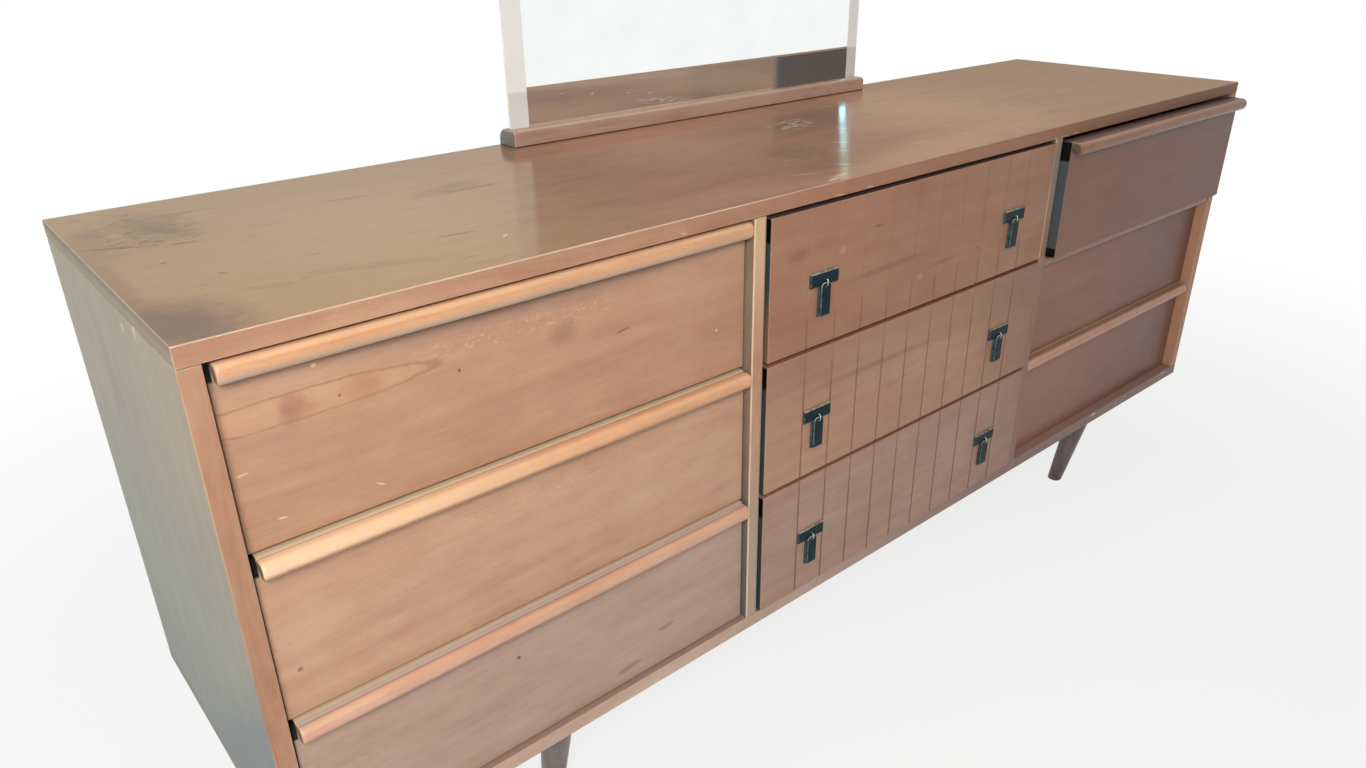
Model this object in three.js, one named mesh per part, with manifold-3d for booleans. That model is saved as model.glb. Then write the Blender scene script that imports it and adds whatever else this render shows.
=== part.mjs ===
import * as THREE from "three";
import { ConvexGeometry } from "three/addons/geometries/ConvexGeometry.js";
import { RoundedBoxGeometry } from "three/addons/geometries/RoundedBoxGeometry.js";
import { mergeVertices } from "three/addons/utils/BufferGeometryUtils.js";
import Module from "manifold-3d";

// A triple dresser with nine drawers, four turned legs and a bevelled mirror standing on its top.
// Millimetres. X runs along the length, Y from the front to the back, Z up from the floor.
// Y = 0 is the front plane of the case until the whole model is centred at the end.

// Case
const caseWidth = 1829;
const caseDepth = 455;
const caseHeight = 582.5;
const board = 19;
const outerBayWidth = 577.5;
const backThickness = 6;
const rabbetWidth = 9;
const arris = 1;
const seam = 0.3;
const cutOverrun = 5;

// Drawer fronts
const frontThickness = 19;
const outerRecess = 12;
const rightRecess = 18;
const centreProud = 3.5;
const outerSideGap = 2.5;
const centreSideGap = 4;
const outerTopGap = 2.5;
const centreTopGap = 4;
const frontBottomGap = 1.5;
const groovePitchShare = 0.0861;
const grooveCount = 10;
const grooveWidth = 3.2;
const grooveDepth = 2;

// How far each drawer that isn't quite shut stands out
const ajarLeftMiddle = 2;
const ajarLeftBottom = 4;
const ajarRightTop = 32;

// How far the open drawer's front hangs below its place
const sagRightTop = 2.5;

// Moulded lip along the top of each outer front
const lipProud = 5;
const lipHeight = 19;
const lipNoseRun = 8;
const lipCoveRun = 8;
const lipCoveRise = 11;
const lipEndGap = 3.5;
const lipEndRadius = 3;

// Drawer boxes and their centre guides
const boxSideGap = 6;
const boxSideThickness = 12;
const boxBottomThickness = 5;
const boxBottomRise = 10;
const boxHeadroom = 12;
const boxRearSpace = 28;
const boxBackDrop = 8;
const slideClearance = 0.3;
const guideWidth = 20;
const guideHeight = 8;
const guideClearance = 0.8;
const stripWidth = 12;
const stripLift = 0.6;

// Dust frames between the rows
const frameThickness = 15;
const frameRailWidth = 45;
const frameWeb = 4;
const stopGap = 1;

// Legs
const legHeight = 155;
const legTopDiameter = 40;
const legFootDiameter = 25;
const legEndInset = 315;
const legTopInset = 32;
const legFootInset = 60;
const legSides = 28;

// T-shaped pulls of the centre drawers
const pullPlanks = 4;
const pullBarWidth = 50;
const pullBarHeight = 18;
const pullStemWidth = 20;
const pullHeight = 57;
const pullLowering = 2.5;
const plateThickness = 3;
const plateBevel = 1.2;
const pivotDrop = 6;
const tabWidth = 17;
const tabThickness = 2.2;
const tabBackGap = 0.8;
const tabBarHeight = 2.6;
const tabShoulder = 4;
const tabBevel = 0.7;
const tabEndMargin = 1.5;
const stapleWidth = 2.4;
const stapleWire = 1.4;
const stapleClearance = 0.4;
const slotClearance = 0.6;

// Mirror
const mirrorRailEndMargin = 6.5;
const mirrorRailDepth = 38;
const mirrorRailHeight = 22;
const mirrorRailBackMargin = 2;
const mirrorRailFrontLip = 15.7;
const mirrorRailArris = 4;
const mirrorRailBackRadius = 13;
const mirrorGrooveDepth = 12;
const glassWidth = 711;
const glassHeight = 914;
const glassThickness = 6;
const glassRimThickness = 3;
const glassBevelWidth = 28;
const backboardThickness = 6;
const backboardInset = 6;
const supportInset = 47;
const supportWidth = 45;
const supportThickness = 19;
const supportDrop = 420;
const supportTopDrop = 120;
const clipWidth = 20;
const clipThickness = 1.5;
const clipHook = 8;
const clipTail = 30;

// Places worked out from the sizes
const halfWidth = caseWidth / 2;
const topSurface = legHeight + caseHeight;
const topUnderside = topSurface - board;
const innerBottom = legHeight + board;
const rowNames = ["top", "middle", "bottom"];
const rowPitch = (topUnderside - innerBottom) / rowNames.length;
const dividerX = halfWidth - board - outerBayWidth - board / 2;
const centreBayWidth = 2 * dividerX - board;
const groovePitch = groovePitchShare * (centreBayWidth - 2 * centreSideGap);
const outerBayX = halfWidth - board - outerBayWidth / 2;
const backFace = caseDepth - backThickness;
const rabbetDepth = backThickness + seam;
const rearHalfWidth = halfWidth - board + rabbetWidth;
const lipDepth = outerRecess + lipProud;
const boxHeight = rowPitch - frameThickness - boxHeadroom;

const columns = [
  {
    name: "left",
    x: -outerBayX,
    width: outerBayWidth,
    frontY: outerRecess,
    sideGap: outerSideGap,
    topGap: outerTopGap,
    ajar: [0, ajarLeftMiddle, ajarLeftBottom],
    sag: [0, 0, 0],
  },
  {
    name: "centre",
    x: 0,
    width: centreBayWidth,
    frontY: -centreProud,
    sideGap: centreSideGap,
    topGap: centreTopGap,
    ajar: [0, 0, 0],
    sag: [0, 0, 0],
  },
  {
    name: "right",
    x: outerBayX,
    width: outerBayWidth,
    frontY: rightRecess,
    sideGap: outerSideGap,
    topGap: outerTopGap,
    ajar: [ajarRightTop, 0, 0],
    sag: [sagRightTop, 0, 0],
  },
];

const finishes = {
  caseWood: { color: 0xb08a6c, roughness: 0.35, metalness: 0 },
  frontWood: { color: 0xb98c70, roughness: 0.4, metalness: 0 },
  lipWood: { color: 0xd59d68, roughness: 0.35, metalness: 0 },
  boxWood: { color: 0xc8b08a, roughness: 0.7, metalness: 0 },
  hiddenWood: { color: 0x9c7c5c, roughness: 0.8, metalness: 0 },
  legWood: { color: 0x6a5a50, roughness: 0.45, metalness: 0 },
  blackMetal: { color: 0x1e343b, roughness: 0.35, metalness: 0.6 },
  mirror: { color: 0xdde4e6, roughness: 0.03, metalness: 1 },
  steel: { color: 0xa9adb0, roughness: 0.3, metalness: 1 },
};

const wasm = await Module();
wasm.setup();

// Shape helpers

function part(name, geometry, finish) {
  const mesh = new THREE.Mesh(geometry, new THREE.MeshStandardMaterial(finishes[finish]));
  mesh.name = name;
  return mesh;
}

function span(centre, width) {
  return [centre - width / 2, centre + width / 2];
}

function block([x0, x1], [y0, y1], [z0, z1]) {
  const geometry = new THREE.BoxGeometry(x1 - x0, y1 - y0, z1 - z0);
  return geometry.translate((x0 + x1) / 2, (y0 + y1) / 2, (z0 + z1) / 2);
}

function easedBlock([x0, x1], [y0, y1], [z0, z1], radius = arris, segments = 1) {
  const geometry = new RoundedBoxGeometry(x1 - x0, y1 - y0, z1 - z0, segments, radius);
  return geometry.translate((x0 + x1) / 2, (y0 + y1) / 2, (z0 + z1) / 2);
}

function outline(points) {
  return new THREE.Shape(points.map(([u, v]) => new THREE.Vector2(u, v)));
}

// The shape's axes are Y and Z, and it is drawn out along X.
function extrudeAlongX(shape, [x0, x1], curveSegments = 8) {
  const geometry = new THREE.ExtrudeGeometry(shape, { depth: x1 - x0, bevelEnabled: false, curveSegments });
  const turn = new THREE.Matrix4().makeBasis(
    new THREE.Vector3(0, 1, 0),
    new THREE.Vector3(0, 0, 1),
    new THREE.Vector3(1, 0, 0),
  );
  return geometry.applyMatrix4(turn).translate(x0, 0, 0);
}

// The shape's axes are X and Z, and it is drawn out along Y, with both its ends bevelled where asked.
function extrudeAlongY(shape, [y0, y1], bevel = 0) {
  const geometry = new THREE.ExtrudeGeometry(shape, {
    depth: y1 - y0 - 2 * bevel,
    bevelEnabled: bevel > 0,
    bevelThickness: bevel,
    bevelSize: bevel,
    bevelOffset: -bevel,
    bevelSegments: 1,
  });
  return geometry.rotateX(Math.PI / 2).translate(0, y1 - bevel, 0);
}

// The shape's axes are X and Y, and it is drawn out along Z.
function extrudeAlongZ(shape, [z0, z1]) {
  const geometry = new THREE.ExtrudeGeometry(shape, { depth: z1 - z0, bevelEnabled: false });
  return geometry.translate(0, 0, z0);
}

function solid(geometry) {
  const bare = geometry.clone();
  bare.deleteAttribute("normal");
  bare.deleteAttribute("uv");
  const merged = mergeVertices(bare);
  const mesh = new wasm.Mesh({
    numProp: 3,
    vertProperties: new Float32Array(merged.attributes.position.array),
    triVerts: new Uint32Array(merged.index.array),
  });
  return new wasm.Manifold(mesh);
}

function surface(manifold) {
  const mesh = manifold.getMesh();
  const geometry = new THREE.BufferGeometry();
  geometry.setAttribute("position", new THREE.BufferAttribute(new Float32Array(mesh.vertProperties), 3));
  geometry.setIndex(new THREE.BufferAttribute(new Uint32Array(mesh.triVerts), 1));
  geometry.computeVertexNormals();
  return geometry;
}

function join(base, ...others) {
  return surface(others.reduce((sum, geometry) => sum.add(solid(geometry)), solid(base)));
}

function cut(base, ...tools) {
  return surface(tools.reduce((rest, geometry) => rest.subtract(solid(geometry)), solid(base)));
}

function common(first, second) {
  return surface(solid(first).intersect(solid(second)));
}

// Case boards

function rowBottom(row) {
  return innerBottom + (rowNames.length - 1 - row) * rowPitch;
}

// The rabbet round the rear edges of the case, which holds the back panel.
function rearRabbet() {
  return block(
    span(0, 2 * rearHalfWidth),
    [caseDepth - rabbetDepth, caseDepth + cutOverrun],
    [innerBottom - rabbetWidth, topUnderside + rabbetWidth],
  );
}

function caseTop() {
  const slab = easedBlock(span(0, caseWidth), [0, caseDepth], [topUnderside, topSurface]);
  return part("case_top", cut(slab, rearRabbet()), "caseWood");
}

function sidePanel(name, direction) {
  const x = direction * (halfWidth - board / 2);
  const slab = easedBlock(span(x, board), [0, caseDepth], [innerBottom + seam, topUnderside - seam]);
  return part(name, cut(slab, rearRabbet()), "caseWood");
}

function divider(name, direction) {
  const heights = [innerBottom + seam, topUnderside - seam];
  const slab = easedBlock(span(direction * dividerX, board), [0, backFace - 2 * seam], heights);
  return part(name, slab, "caseWood");
}

function guideReach(column) {
  return [column.frontY + frontThickness + stopGap, backFace - 2 * seam];
}

function guide(column, top) {
  return block(span(column.x, guideWidth), guideReach(column), [top - frameWeb, top + guideHeight]);
}

function caseBottom() {
  const slab = easedBlock(span(0, caseWidth), [0, caseDepth], [legHeight, innerBottom]);
  const guides = columns.map((column) => guide(column, innerBottom));
  return part("case_bottom", join(cut(slab, rearRabbet()), ...guides), "caseWood");
}

function backPanel() {
  const panel = block(
    span(0, 2 * (rearHalfWidth - seam)),
    [backFace, caseDepth],
    [innerBottom - rabbetWidth + seam, topUnderside + rabbetWidth - seam],
  );
  return part("back_panel", panel, "hiddenWood");
}

// A dust frame has a rail at the front, back and each side, a thin panel between them, and the centre guide.
function dustFrame(column, row) {
  const level = rowBottom(row);
  const [front, rear] = guideReach(column);
  const underside = level - frameThickness / 2;
  const top = level + frameThickness / 2;
  const slab = block(span(column.x, column.width - 2 * seam), [front, rear], [underside, top]);
  const pocketWidth = (column.width - 2 * seam - 3 * frameRailWidth) / 2;
  const pockets = [-1, 1].flatMap((side) => {
    const x = column.x + side * (frameRailWidth + pocketWidth) / 2;
    const reach = [front + frameRailWidth, rear - frameRailWidth];
    return [
      block(span(x, pocketWidth), reach, [level + frameWeb / 2, top + cutOverrun]),
      block(span(x, pocketWidth), reach, [underside - cutOverrun, level - frameWeb / 2]),
    ];
  });
  const levelName = row === 0 ? "upper" : "lower";
  const name = `dust_frame_${column.name}_${levelName}`;
  return part(name, join(cut(slab, ...pockets), guide(column, top)), "hiddenWood");
}

// Legs

function leg(name, side, end) {
  const footY = end === "front" ? legFootInset : caseDepth - legFootInset;
  const topY = end === "front" ? legTopInset : caseDepth - legTopInset;
  const axis = new THREE.Vector3(0, topY - footY, legHeight);
  const length = axis.length();
  const overrun = legTopDiameter;
  const radiusAt = (along) => (legFootDiameter + (legTopDiameter - legFootDiameter) * along / length) / 2;
  const profile = [
    new THREE.Vector2(0, -overrun),
    new THREE.Vector2(radiusAt(-overrun), -overrun),
    new THREE.Vector2(radiusAt(length + overrun), length + overrun),
    new THREE.Vector2(0, length + overrun),
  ];
  const turned = new THREE.LatheGeometry(profile, legSides);
  const lean = new THREE.Quaternion().setFromUnitVectors(new THREE.Vector3(0, 1, 0), axis.normalize());
  turned.applyQuaternion(lean).translate(side * (halfWidth - legEndInset), footY, 0);
  const level = block(span(0, caseWidth), [0, caseDepth], [0, legHeight - seam]);
  return part(name, common(turned, level), "legWood");
}

// Drawers: X = 0 is the middle of the bay, Y = 0 the face of the front board, Z = 0 the foot of the row.

function frontBoard(column) {
  return easedBlock(
    span(0, column.width - 2 * column.sideGap),
    [0, frontThickness],
    [frontBottomGap, rowPitch - column.topGap],
  );
}

function groovedFrontBoard(column) {
  const halfMouth = grooveWidth * (grooveDepth + cutOverrun) / (2 * grooveDepth);
  const grooves = Array.from({ length: grooveCount }, (_, index) => {
    const x = (index - (grooveCount - 1) / 2) * groovePitch;
    const vee = outline([[x - halfMouth, -cutOverrun], [x + halfMouth, -cutOverrun], [x, grooveDepth]]);
    return extrudeAlongZ(vee, [-cutOverrun, rowPitch + cutOverrun]);
  });
  return cut(frontBoard(column), ...grooves);
}

// The lip has a flat top, a bull nose and a cove behind the nose for the fingers.
function lipPull(column) {
  const noseY = lipNoseRun - lipDepth;
  const profile = new THREE.Shape();
  profile.moveTo(-seam, 0);
  profile.lineTo(noseY, 0);
  profile.absellipse(noseY, -lipHeight / 2, lipNoseRun, lipHeight / 2, Math.PI / 2, 3 * Math.PI / 2, false);
  profile.lineTo(-seam - lipCoveRun, -lipHeight);
  profile.absellipse(-seam, -lipHeight, lipCoveRun, lipCoveRise, Math.PI, Math.PI / 2, true);
  profile.closePath();
  const length = span(0, column.width - 2 * lipEndGap);
  const softEnds = easedBlock(
    length,
    [-lipDepth, lipEndRadius],
    [-lipHeight, 0],
    lipEndRadius,
    2,
  );
  const moulding = common(extrudeAlongX(profile, length), softEnds);
  return moulding.translate(0, 0, rowPitch - column.topGap);
}

// The box is open at the front board. Two strips under its bottom straddle the centre guide.
function drawerBox(column, row) {
  const restsOn = row === rowNames.length - 1 ? 0 : frameThickness / 2;
  const halfBox = column.width / 2 - boxSideGap;
  const inner = halfBox - boxSideThickness;
  const stripInner = guideWidth / 2 + guideClearance;
  const stripOuter = stripInner + stripWidth;
  const floorTop = boxBottomRise + boxBottomThickness;
  const rightHalf = [
    [stripInner, boxBottomRise],
    [stripInner, stripLift],
    [stripOuter, stripLift],
    [stripOuter, boxBottomRise],
    [inner, boxBottomRise],
    [inner, 0],
    [halfBox, 0],
    [halfBox, boxHeight],
    [inner, boxHeight],
    [inner, floorTop],
  ];
  const leftHalf = rightHalf.map(([x, z]) => [-x, z]).reverse();
  const start = frontThickness + seam;
  const end = backFace - boxRearSpace - column.frontY;
  const trough = extrudeAlongY(outline([...rightHalf, ...leftHalf]), [start, end]);
  const back = block(
    span(0, 2 * inner + boxSideThickness),
    [end - boxSideThickness, end],
    [boxBottomRise, boxHeight - boxBackDrop],
  );
  return join(trough, back).translate(0, 0, restsOn + slideClearance);
}

// Pulls: the origin is the middle of the T's bar, on the face of the front board.

const pivotStandoff = tabThickness / 2 + tabBackGap;
const pivotY = -plateThickness - pivotStandoff;
const stapleInner = Math.hypot(tabThickness, tabBarHeight) / 2 + stapleClearance;
const stapleOuter = stapleInner + stapleWire;

// A bevelled T with a flat stamped staple standing on it.
function pullPlate() {
  const barTop = pullBarHeight / 2;
  const stemEnd = barTop - pullHeight;
  const halfBar = pullBarWidth / 2;
  const halfStem = pullStemWidth / 2;
  const tee = outline([
    [-halfBar, barTop],
    [-halfBar, -barTop],
    [-halfStem, -barTop],
    [-halfStem, stemEnd],
    [halfStem, stemEnd],
    [halfStem, -barTop],
    [halfBar, -barTop],
    [halfBar, barTop],
  ]);
  const bevelled = extrudeAlongY(tee, [-plateThickness, plateThickness], plateBevel);
  const flatBack = block(span(0, pullBarWidth), [-plateThickness, -seam], [stemEnd, barTop]);
  const loop = new THREE.Shape();
  const root = pivotStandoff + plateThickness / 2;
  loop.moveTo(root, stapleOuter);
  loop.lineTo(0, stapleOuter);
  loop.absarc(0, 0, stapleOuter, Math.PI / 2, 3 * Math.PI / 2, false);
  loop.lineTo(root, -stapleOuter);
  loop.lineTo(root, -stapleInner);
  loop.lineTo(0, -stapleInner);
  loop.absarc(0, 0, stapleInner, 3 * Math.PI / 2, Math.PI / 2, true);
  loop.lineTo(root, stapleInner);
  loop.closePath();
  const staple = extrudeAlongX(loop, span(0, stapleWidth), 10).translate(0, pivotY, -pivotDrop);
  return join(common(bevelled, flatBack), staple);
}

// The hanging tab: the bar above its slot lies inside the staple and is the hinge.
function pullTab() {
  const top = tabBarHeight / 2;
  const end = pullBarHeight / 2 - pullHeight + pivotDrop + tabEndMargin;
  const halfTab = tabWidth / 2;
  const tab = outline([
    [-halfTab, end],
    [halfTab, end],
    [halfTab, top - tabShoulder],
    [halfTab - tabShoulder, top],
    [tabShoulder - halfTab, top],
    [-halfTab, top - tabShoulder],
  ]);
  const slot = block(
    span(0, stapleWidth + 2 * slotClearance),
    span(0, 2 * tabThickness),
    [-stapleOuter - slotClearance, -tabBarHeight / 2],
  );
  return cut(extrudeAlongY(tab, span(0, tabThickness), tabBevel), slot);
}

function pull(prefix, x) {
  const group = new THREE.Group();
  group.position.set(x, 0, rowPitch / 2 - pullLowering);
  const tab = part(`${prefix}_pull_drop`, pullTab(), "blackMetal");
  tab.position.set(0, pivotY, -pivotDrop);
  group.add(part(`${prefix}_pull_plate`, pullPlate(), "blackMetal"), tab);
  return group;
}

function drawer(column, row) {
  const name = `${column.name}_${rowNames[row]}`;
  const group = new THREE.Group();
  group.position.set(column.x, column.frontY - column.ajar[row], rowBottom(row));
  const face = new THREE.Group();
  face.position.z = -column.sag[row];
  group.add(part(`${name}_drawer_box`, drawerBox(column, row), "boxWood"), face);
  if (column.name === "centre") {
    face.add(part(`${name}_drawer_front`, groovedFrontBoard(column), "frontWood"));
    face.add(pull(`${name}_left`, -pullPlanks * groovePitch));
    face.add(pull(`${name}_right`, pullPlanks * groovePitch));
  } else {
    face.add(part(`${name}_drawer_front`, frontBoard(column), "frontWood"));
    face.add(part(`${name}_lip_pull`, lipPull(column), "lipWood"));
  }
  return group;
}

// Mirror: a rail on the top holds the foot of the glass and of its backboard in a stopped groove.

const railBack = caseDepth - mirrorRailBackMargin;
const railFront = railBack - mirrorRailDepth;
const railTop = topSurface + mirrorRailHeight;
const grooveFloor = railTop - mirrorGrooveDepth;
const glassFront = railFront + mirrorRailFrontLip + seam;
const glassBack = glassFront + glassThickness;
const glassBottom = grooveFloor + seam;
const glassTop = glassBottom + glassHeight;
const boardBack = glassBack + seam + backboardThickness;
const supportX = glassWidth / 2 - supportInset;

function mirrorRail() {
  const rearLipFront = boardBack + seam;
  const foot = topSurface + seam;
  const backRound = Math.min(mirrorRailBackRadius, railBack - rearLipFront);
  const profile = new THREE.Shape();
  profile.moveTo(railFront, foot);
  profile.lineTo(railBack, foot);
  profile.absellipse(
    railBack - backRound,
    railTop - mirrorRailBackRadius,
    backRound,
    mirrorRailBackRadius,
    0,
    Math.PI / 2,
    false,
  );
  profile.lineTo(railFront, railTop);
  profile.closePath();
  const length = span(0, glassWidth + 2 * mirrorRailEndMargin);
  const heights = [foot - mirrorRailArris, railTop];
  const softEdges = easedBlock(length, [railFront, railBack], heights, mirrorRailArris, 2);
  const groove = block(
    span(0, glassWidth + 2 * seam),
    [glassFront - seam, rearLipFront],
    [grooveFloor, railTop + cutOverrun],
  );
  return part("mirror_rail", cut(common(extrudeAlongX(profile, length), softEdges), groove), "caseWood");
}

// The glass is bevelled along its sides and top, and square at the foot, which the rail hides.
function mirrorGlass() {
  const half = glassWidth / 2;
  const rim = glassBack - glassRimThickness;
  const flatHalf = half - glassBevelWidth;
  const flatTop = glassTop - glassBevelWidth;
  const corners = [-1, 1].flatMap((side) => [
    new THREE.Vector3(side * half, glassBack, glassBottom),
    new THREE.Vector3(side * half, glassBack, glassTop),
    new THREE.Vector3(side * half, rim, glassBottom),
    new THREE.Vector3(side * half, rim, glassTop),
    new THREE.Vector3(side * flatHalf, glassFront, glassBottom),
    new THREE.Vector3(side * flatHalf, glassFront, flatTop),
  ]);
  return part("mirror_glass", new ConvexGeometry(corners), "mirror");
}

function mirrorBackboard() {
  const panel = block(
    span(0, glassWidth - 2 * backboardInset),
    [glassBack + seam, boardBack],
    [glassBottom, glassTop - backboardInset],
  );
  return part("mirror_backboard", panel, "hiddenWood");
}

// Each upright is notched to pass behind the case and carry the backboard above it.
function mirrorSupport(name, side) {
  const front = boardBack + seam;
  const caseRear = caseDepth + seam;
  const rear = caseRear + supportThickness;
  const shoulder = railTop + seam;
  const profile = outline([
    [caseRear, topSurface - supportDrop],
    [rear, topSurface - supportDrop],
    [rear, glassTop - supportTopDrop],
    [front, glassTop - supportTopDrop],
    [front, shoulder],
    [caseRear, shoulder],
  ]);
  return part(name, extrudeAlongX(profile, span(side * supportX, supportWidth)), "hiddenWood");
}

// A bent strip screwed to the backboard, whose hook holds the bevelled top edge of the glass.
function mirrorClip(name, side) {
  const behind = boardBack + seam;
  const over = glassTop + seam;
  const rim = glassBack - glassRimThickness;
  const slope = (glassThickness - glassRimThickness) / glassBevelWidth;
  const before = rim - slope * clipHook - seam;
  const profile = outline([
    [behind, glassTop - clipTail],
    [behind + clipThickness, glassTop - clipTail],
    [behind + clipThickness, over + clipThickness],
    [before - clipThickness, over + clipThickness],
    [before - clipThickness, glassTop - clipHook],
    [before, glassTop - clipHook],
    [before, over],
    [behind, over],
  ]);
  return part(name, extrudeAlongX(profile, span(side * supportX, clipWidth)), "steel");
}

// The whole dresser

const dresser = new THREE.Group();
dresser.add(
  caseTop(),
  sidePanel("side_panel_left", -1),
  sidePanel("side_panel_right", 1),
  divider("divider_left", -1),
  divider("divider_right", 1),
  caseBottom(),
  backPanel(),
  leg("leg_front_left", -1, "front"),
  leg("leg_front_right", 1, "front"),
  leg("leg_back_left", -1, "back"),
  leg("leg_back_right", 1, "back"),
  mirrorRail(),
  mirrorGlass(),
  mirrorBackboard(),
  mirrorSupport("mirror_support_left", -1),
  mirrorSupport("mirror_support_right", 1),
  mirrorClip("mirror_clip_left", -1),
  mirrorClip("mirror_clip_right", 1),
);
for (const column of columns) {
  dresser.add(dustFrame(column, 0), dustFrame(column, 1));
  rowNames.forEach((_, row) => dresser.add(drawer(column, row)));
}

// Centred over the space it takes up, from the drawer that stands out furthest to the backs of the uprights.
const reaches = columns.flatMap(({ frontY, ajar }) => ajar.map((out) => out - frontY));
const outerReach = Math.max(...reaches) + lipDepth;
const modelBack = caseDepth + seam + supportThickness;
dresser.position.y = (outerReach - modelBack) / 2;

export default dresser;
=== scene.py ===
"""The looks of a nine-drawer dresser with a bevelled mirror, round its CAD frame. Metres, X along the length,
Y from the drawers to the back, Z up from the floor."""

from math import hypot, pi, radians, sqrt

import bmesh
import bpy
import numpy as np
from mathutils import Matrix, Vector


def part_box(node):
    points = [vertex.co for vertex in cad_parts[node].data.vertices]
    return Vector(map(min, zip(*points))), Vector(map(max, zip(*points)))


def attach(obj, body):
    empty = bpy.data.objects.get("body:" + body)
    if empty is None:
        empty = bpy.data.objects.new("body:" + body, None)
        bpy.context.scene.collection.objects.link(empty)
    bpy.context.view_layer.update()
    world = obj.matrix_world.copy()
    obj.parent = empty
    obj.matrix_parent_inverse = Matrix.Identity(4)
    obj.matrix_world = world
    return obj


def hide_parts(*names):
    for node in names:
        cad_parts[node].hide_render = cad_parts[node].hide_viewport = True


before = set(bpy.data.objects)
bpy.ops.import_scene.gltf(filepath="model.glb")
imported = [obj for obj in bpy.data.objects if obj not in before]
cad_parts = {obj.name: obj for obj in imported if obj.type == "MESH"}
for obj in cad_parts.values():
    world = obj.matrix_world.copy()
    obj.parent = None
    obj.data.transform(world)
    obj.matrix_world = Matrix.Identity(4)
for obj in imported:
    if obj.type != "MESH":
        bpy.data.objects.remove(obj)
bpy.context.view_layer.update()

scene = bpy.context.scene
MM = 0.001

ROWS = ("top", "middle", "bottom")


def by_drawer(**columns):
    """A value for each drawer of the columns given, whose values go from the top down."""
    return {f"{column}_{row}": value for column, values in columns.items() for row, value in zip(ROWS, values)}


# The photograph's camera, solved from the corners of the case
IMAGE_WIDTH = 1366
FOCAL_PIXELS = 980.45
CAMERA_PLACE = (-1.0567, -0.9637, 1.0154)
CAMERA_YAW = radians(40.475)
CAMERA_PITCH = radians(25.39)
CAMERA_ROLL = radians(0.6)


def srgb(*shade):
    """A colour written as it looks on a screen, 0 to 255, as the shader's linear light."""
    shares = np.array(shade) / 255
    return (*np.where(shares <= 0.04045, shares / 12.92, ((shares + 0.055) / 1.055) ** 2.4), 1.0)


def toned(shades, tone):
    """Screen colours as linear light, times one share or a share each for red, green and blue."""
    return [(*np.multiply(srgb(*shade)[:3], tone), 1.0) for shade in shades]


# Below, the dark brown is painted shade on undersides and also the colour of small dark specks, and the near-black is
# painted shade in gaps and under the case top
CREAM = (236, 206, 168)
SHADE_AND_SPECKS = (46, 30, 24)
PITCH = (14, 14, 16)

# A dark, a middle and a light shade of each wood
TOP_SHADES = (148, 106, 82), (168, 124, 98), (182, 140, 112)
FRONT_SHADES = (174, 127, 101), (190, 145, 117), (202, 160, 130)
BAND_SHADES = (168, 118, 94), (184, 138, 112), (198, 154, 126)
BOTTOM_SHADES = (196, 164, 144), (212, 182, 164), (222, 196, 178)
SIDE_SHADES = (127, 112, 91), (142, 126, 105), (153, 138, 116)
DIVIDER_SHADES = (134, 112, 94), (150, 128, 110), (162, 140, 120)
LIP_SHADES = (200, 142, 104), (218, 162, 123), (230, 178, 138)
LEG_SHADES = (86, 74, 72), (110, 99, 97), (126, 115, 112)
BOX_SHADES = (172, 144, 108), (196, 170, 132), (210, 188, 150)
HIDDEN_SHADES = (128, 102, 76), (156, 126, 96), (172, 144, 112)
HARDBOARD_SHADES = (100, 74, 54), (120, 90, 66), (134, 104, 78)
RAIL_SHADES = (172, 138, 122), (190, 156, 140), (202, 170, 152)

# The turns that lay each axis along X, where the grain runs
GRAIN_TURNS = {"X": (0, 0, 0), "Y": (0, 0, -pi / 2), "Z": (0, pi / 2, 0)}


class Nodes:
    """A node tree. Each method adds nodes and gives back an output to go on from."""

    def __init__(self, tree):
        self.nodes, self.links = tree.nodes, tree.links

    def feed(self, socket, value):
        if isinstance(value, bpy.types.NodeSocket):
            self.links.new(value, socket)
        else:
            socket.default_value = value

    def add(self, kind, inputs=None, **settings):
        node = self.nodes.new(f"ShaderNode{kind}")
        for key, value in settings.items():
            setattr(node, key, value)
        for key, value in (inputs or {}).items():
            self.feed(node.inputs[key], value)
        return node

    def fit(self, value, low, high, to_low=0.0, to_high=1.0):
        """A smooth step from to_low to to_high as the value goes from low to high."""
        inputs = {"Value": value, "From Min": low, "From Max": high, "To Min": to_low, "To Max": to_high}
        return self.add("MapRange", inputs, interpolation_type="SMOOTHSTEP").outputs[0]

    def sum(self, operation, first, second=0.0):
        return self.add("Math", {0: first, 1: second}, operation=operation).outputs[0]

    def product(self, *values):
        total = values[0]
        for value in values[1:]:
            total = self.sum("MULTIPLY", total, value)
        return total

    def off(self, value, centre=0.0):
        """How far a value is from a centre."""
        return self.sum("ABSOLUTE", self.sum("SUBTRACT", value, centre))

    def seen_directly(self):
        """1 for camera, glossy and transmission rays, which see the plain white background."""
        path = self.add("LightPath").outputs
        seen = self.sum("MAXIMUM", path["Is Camera Ray"], path["Is Glossy Ray"])
        return self.sum("MAXIMUM", seen, path["Is Transmission Ray"])


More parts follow.
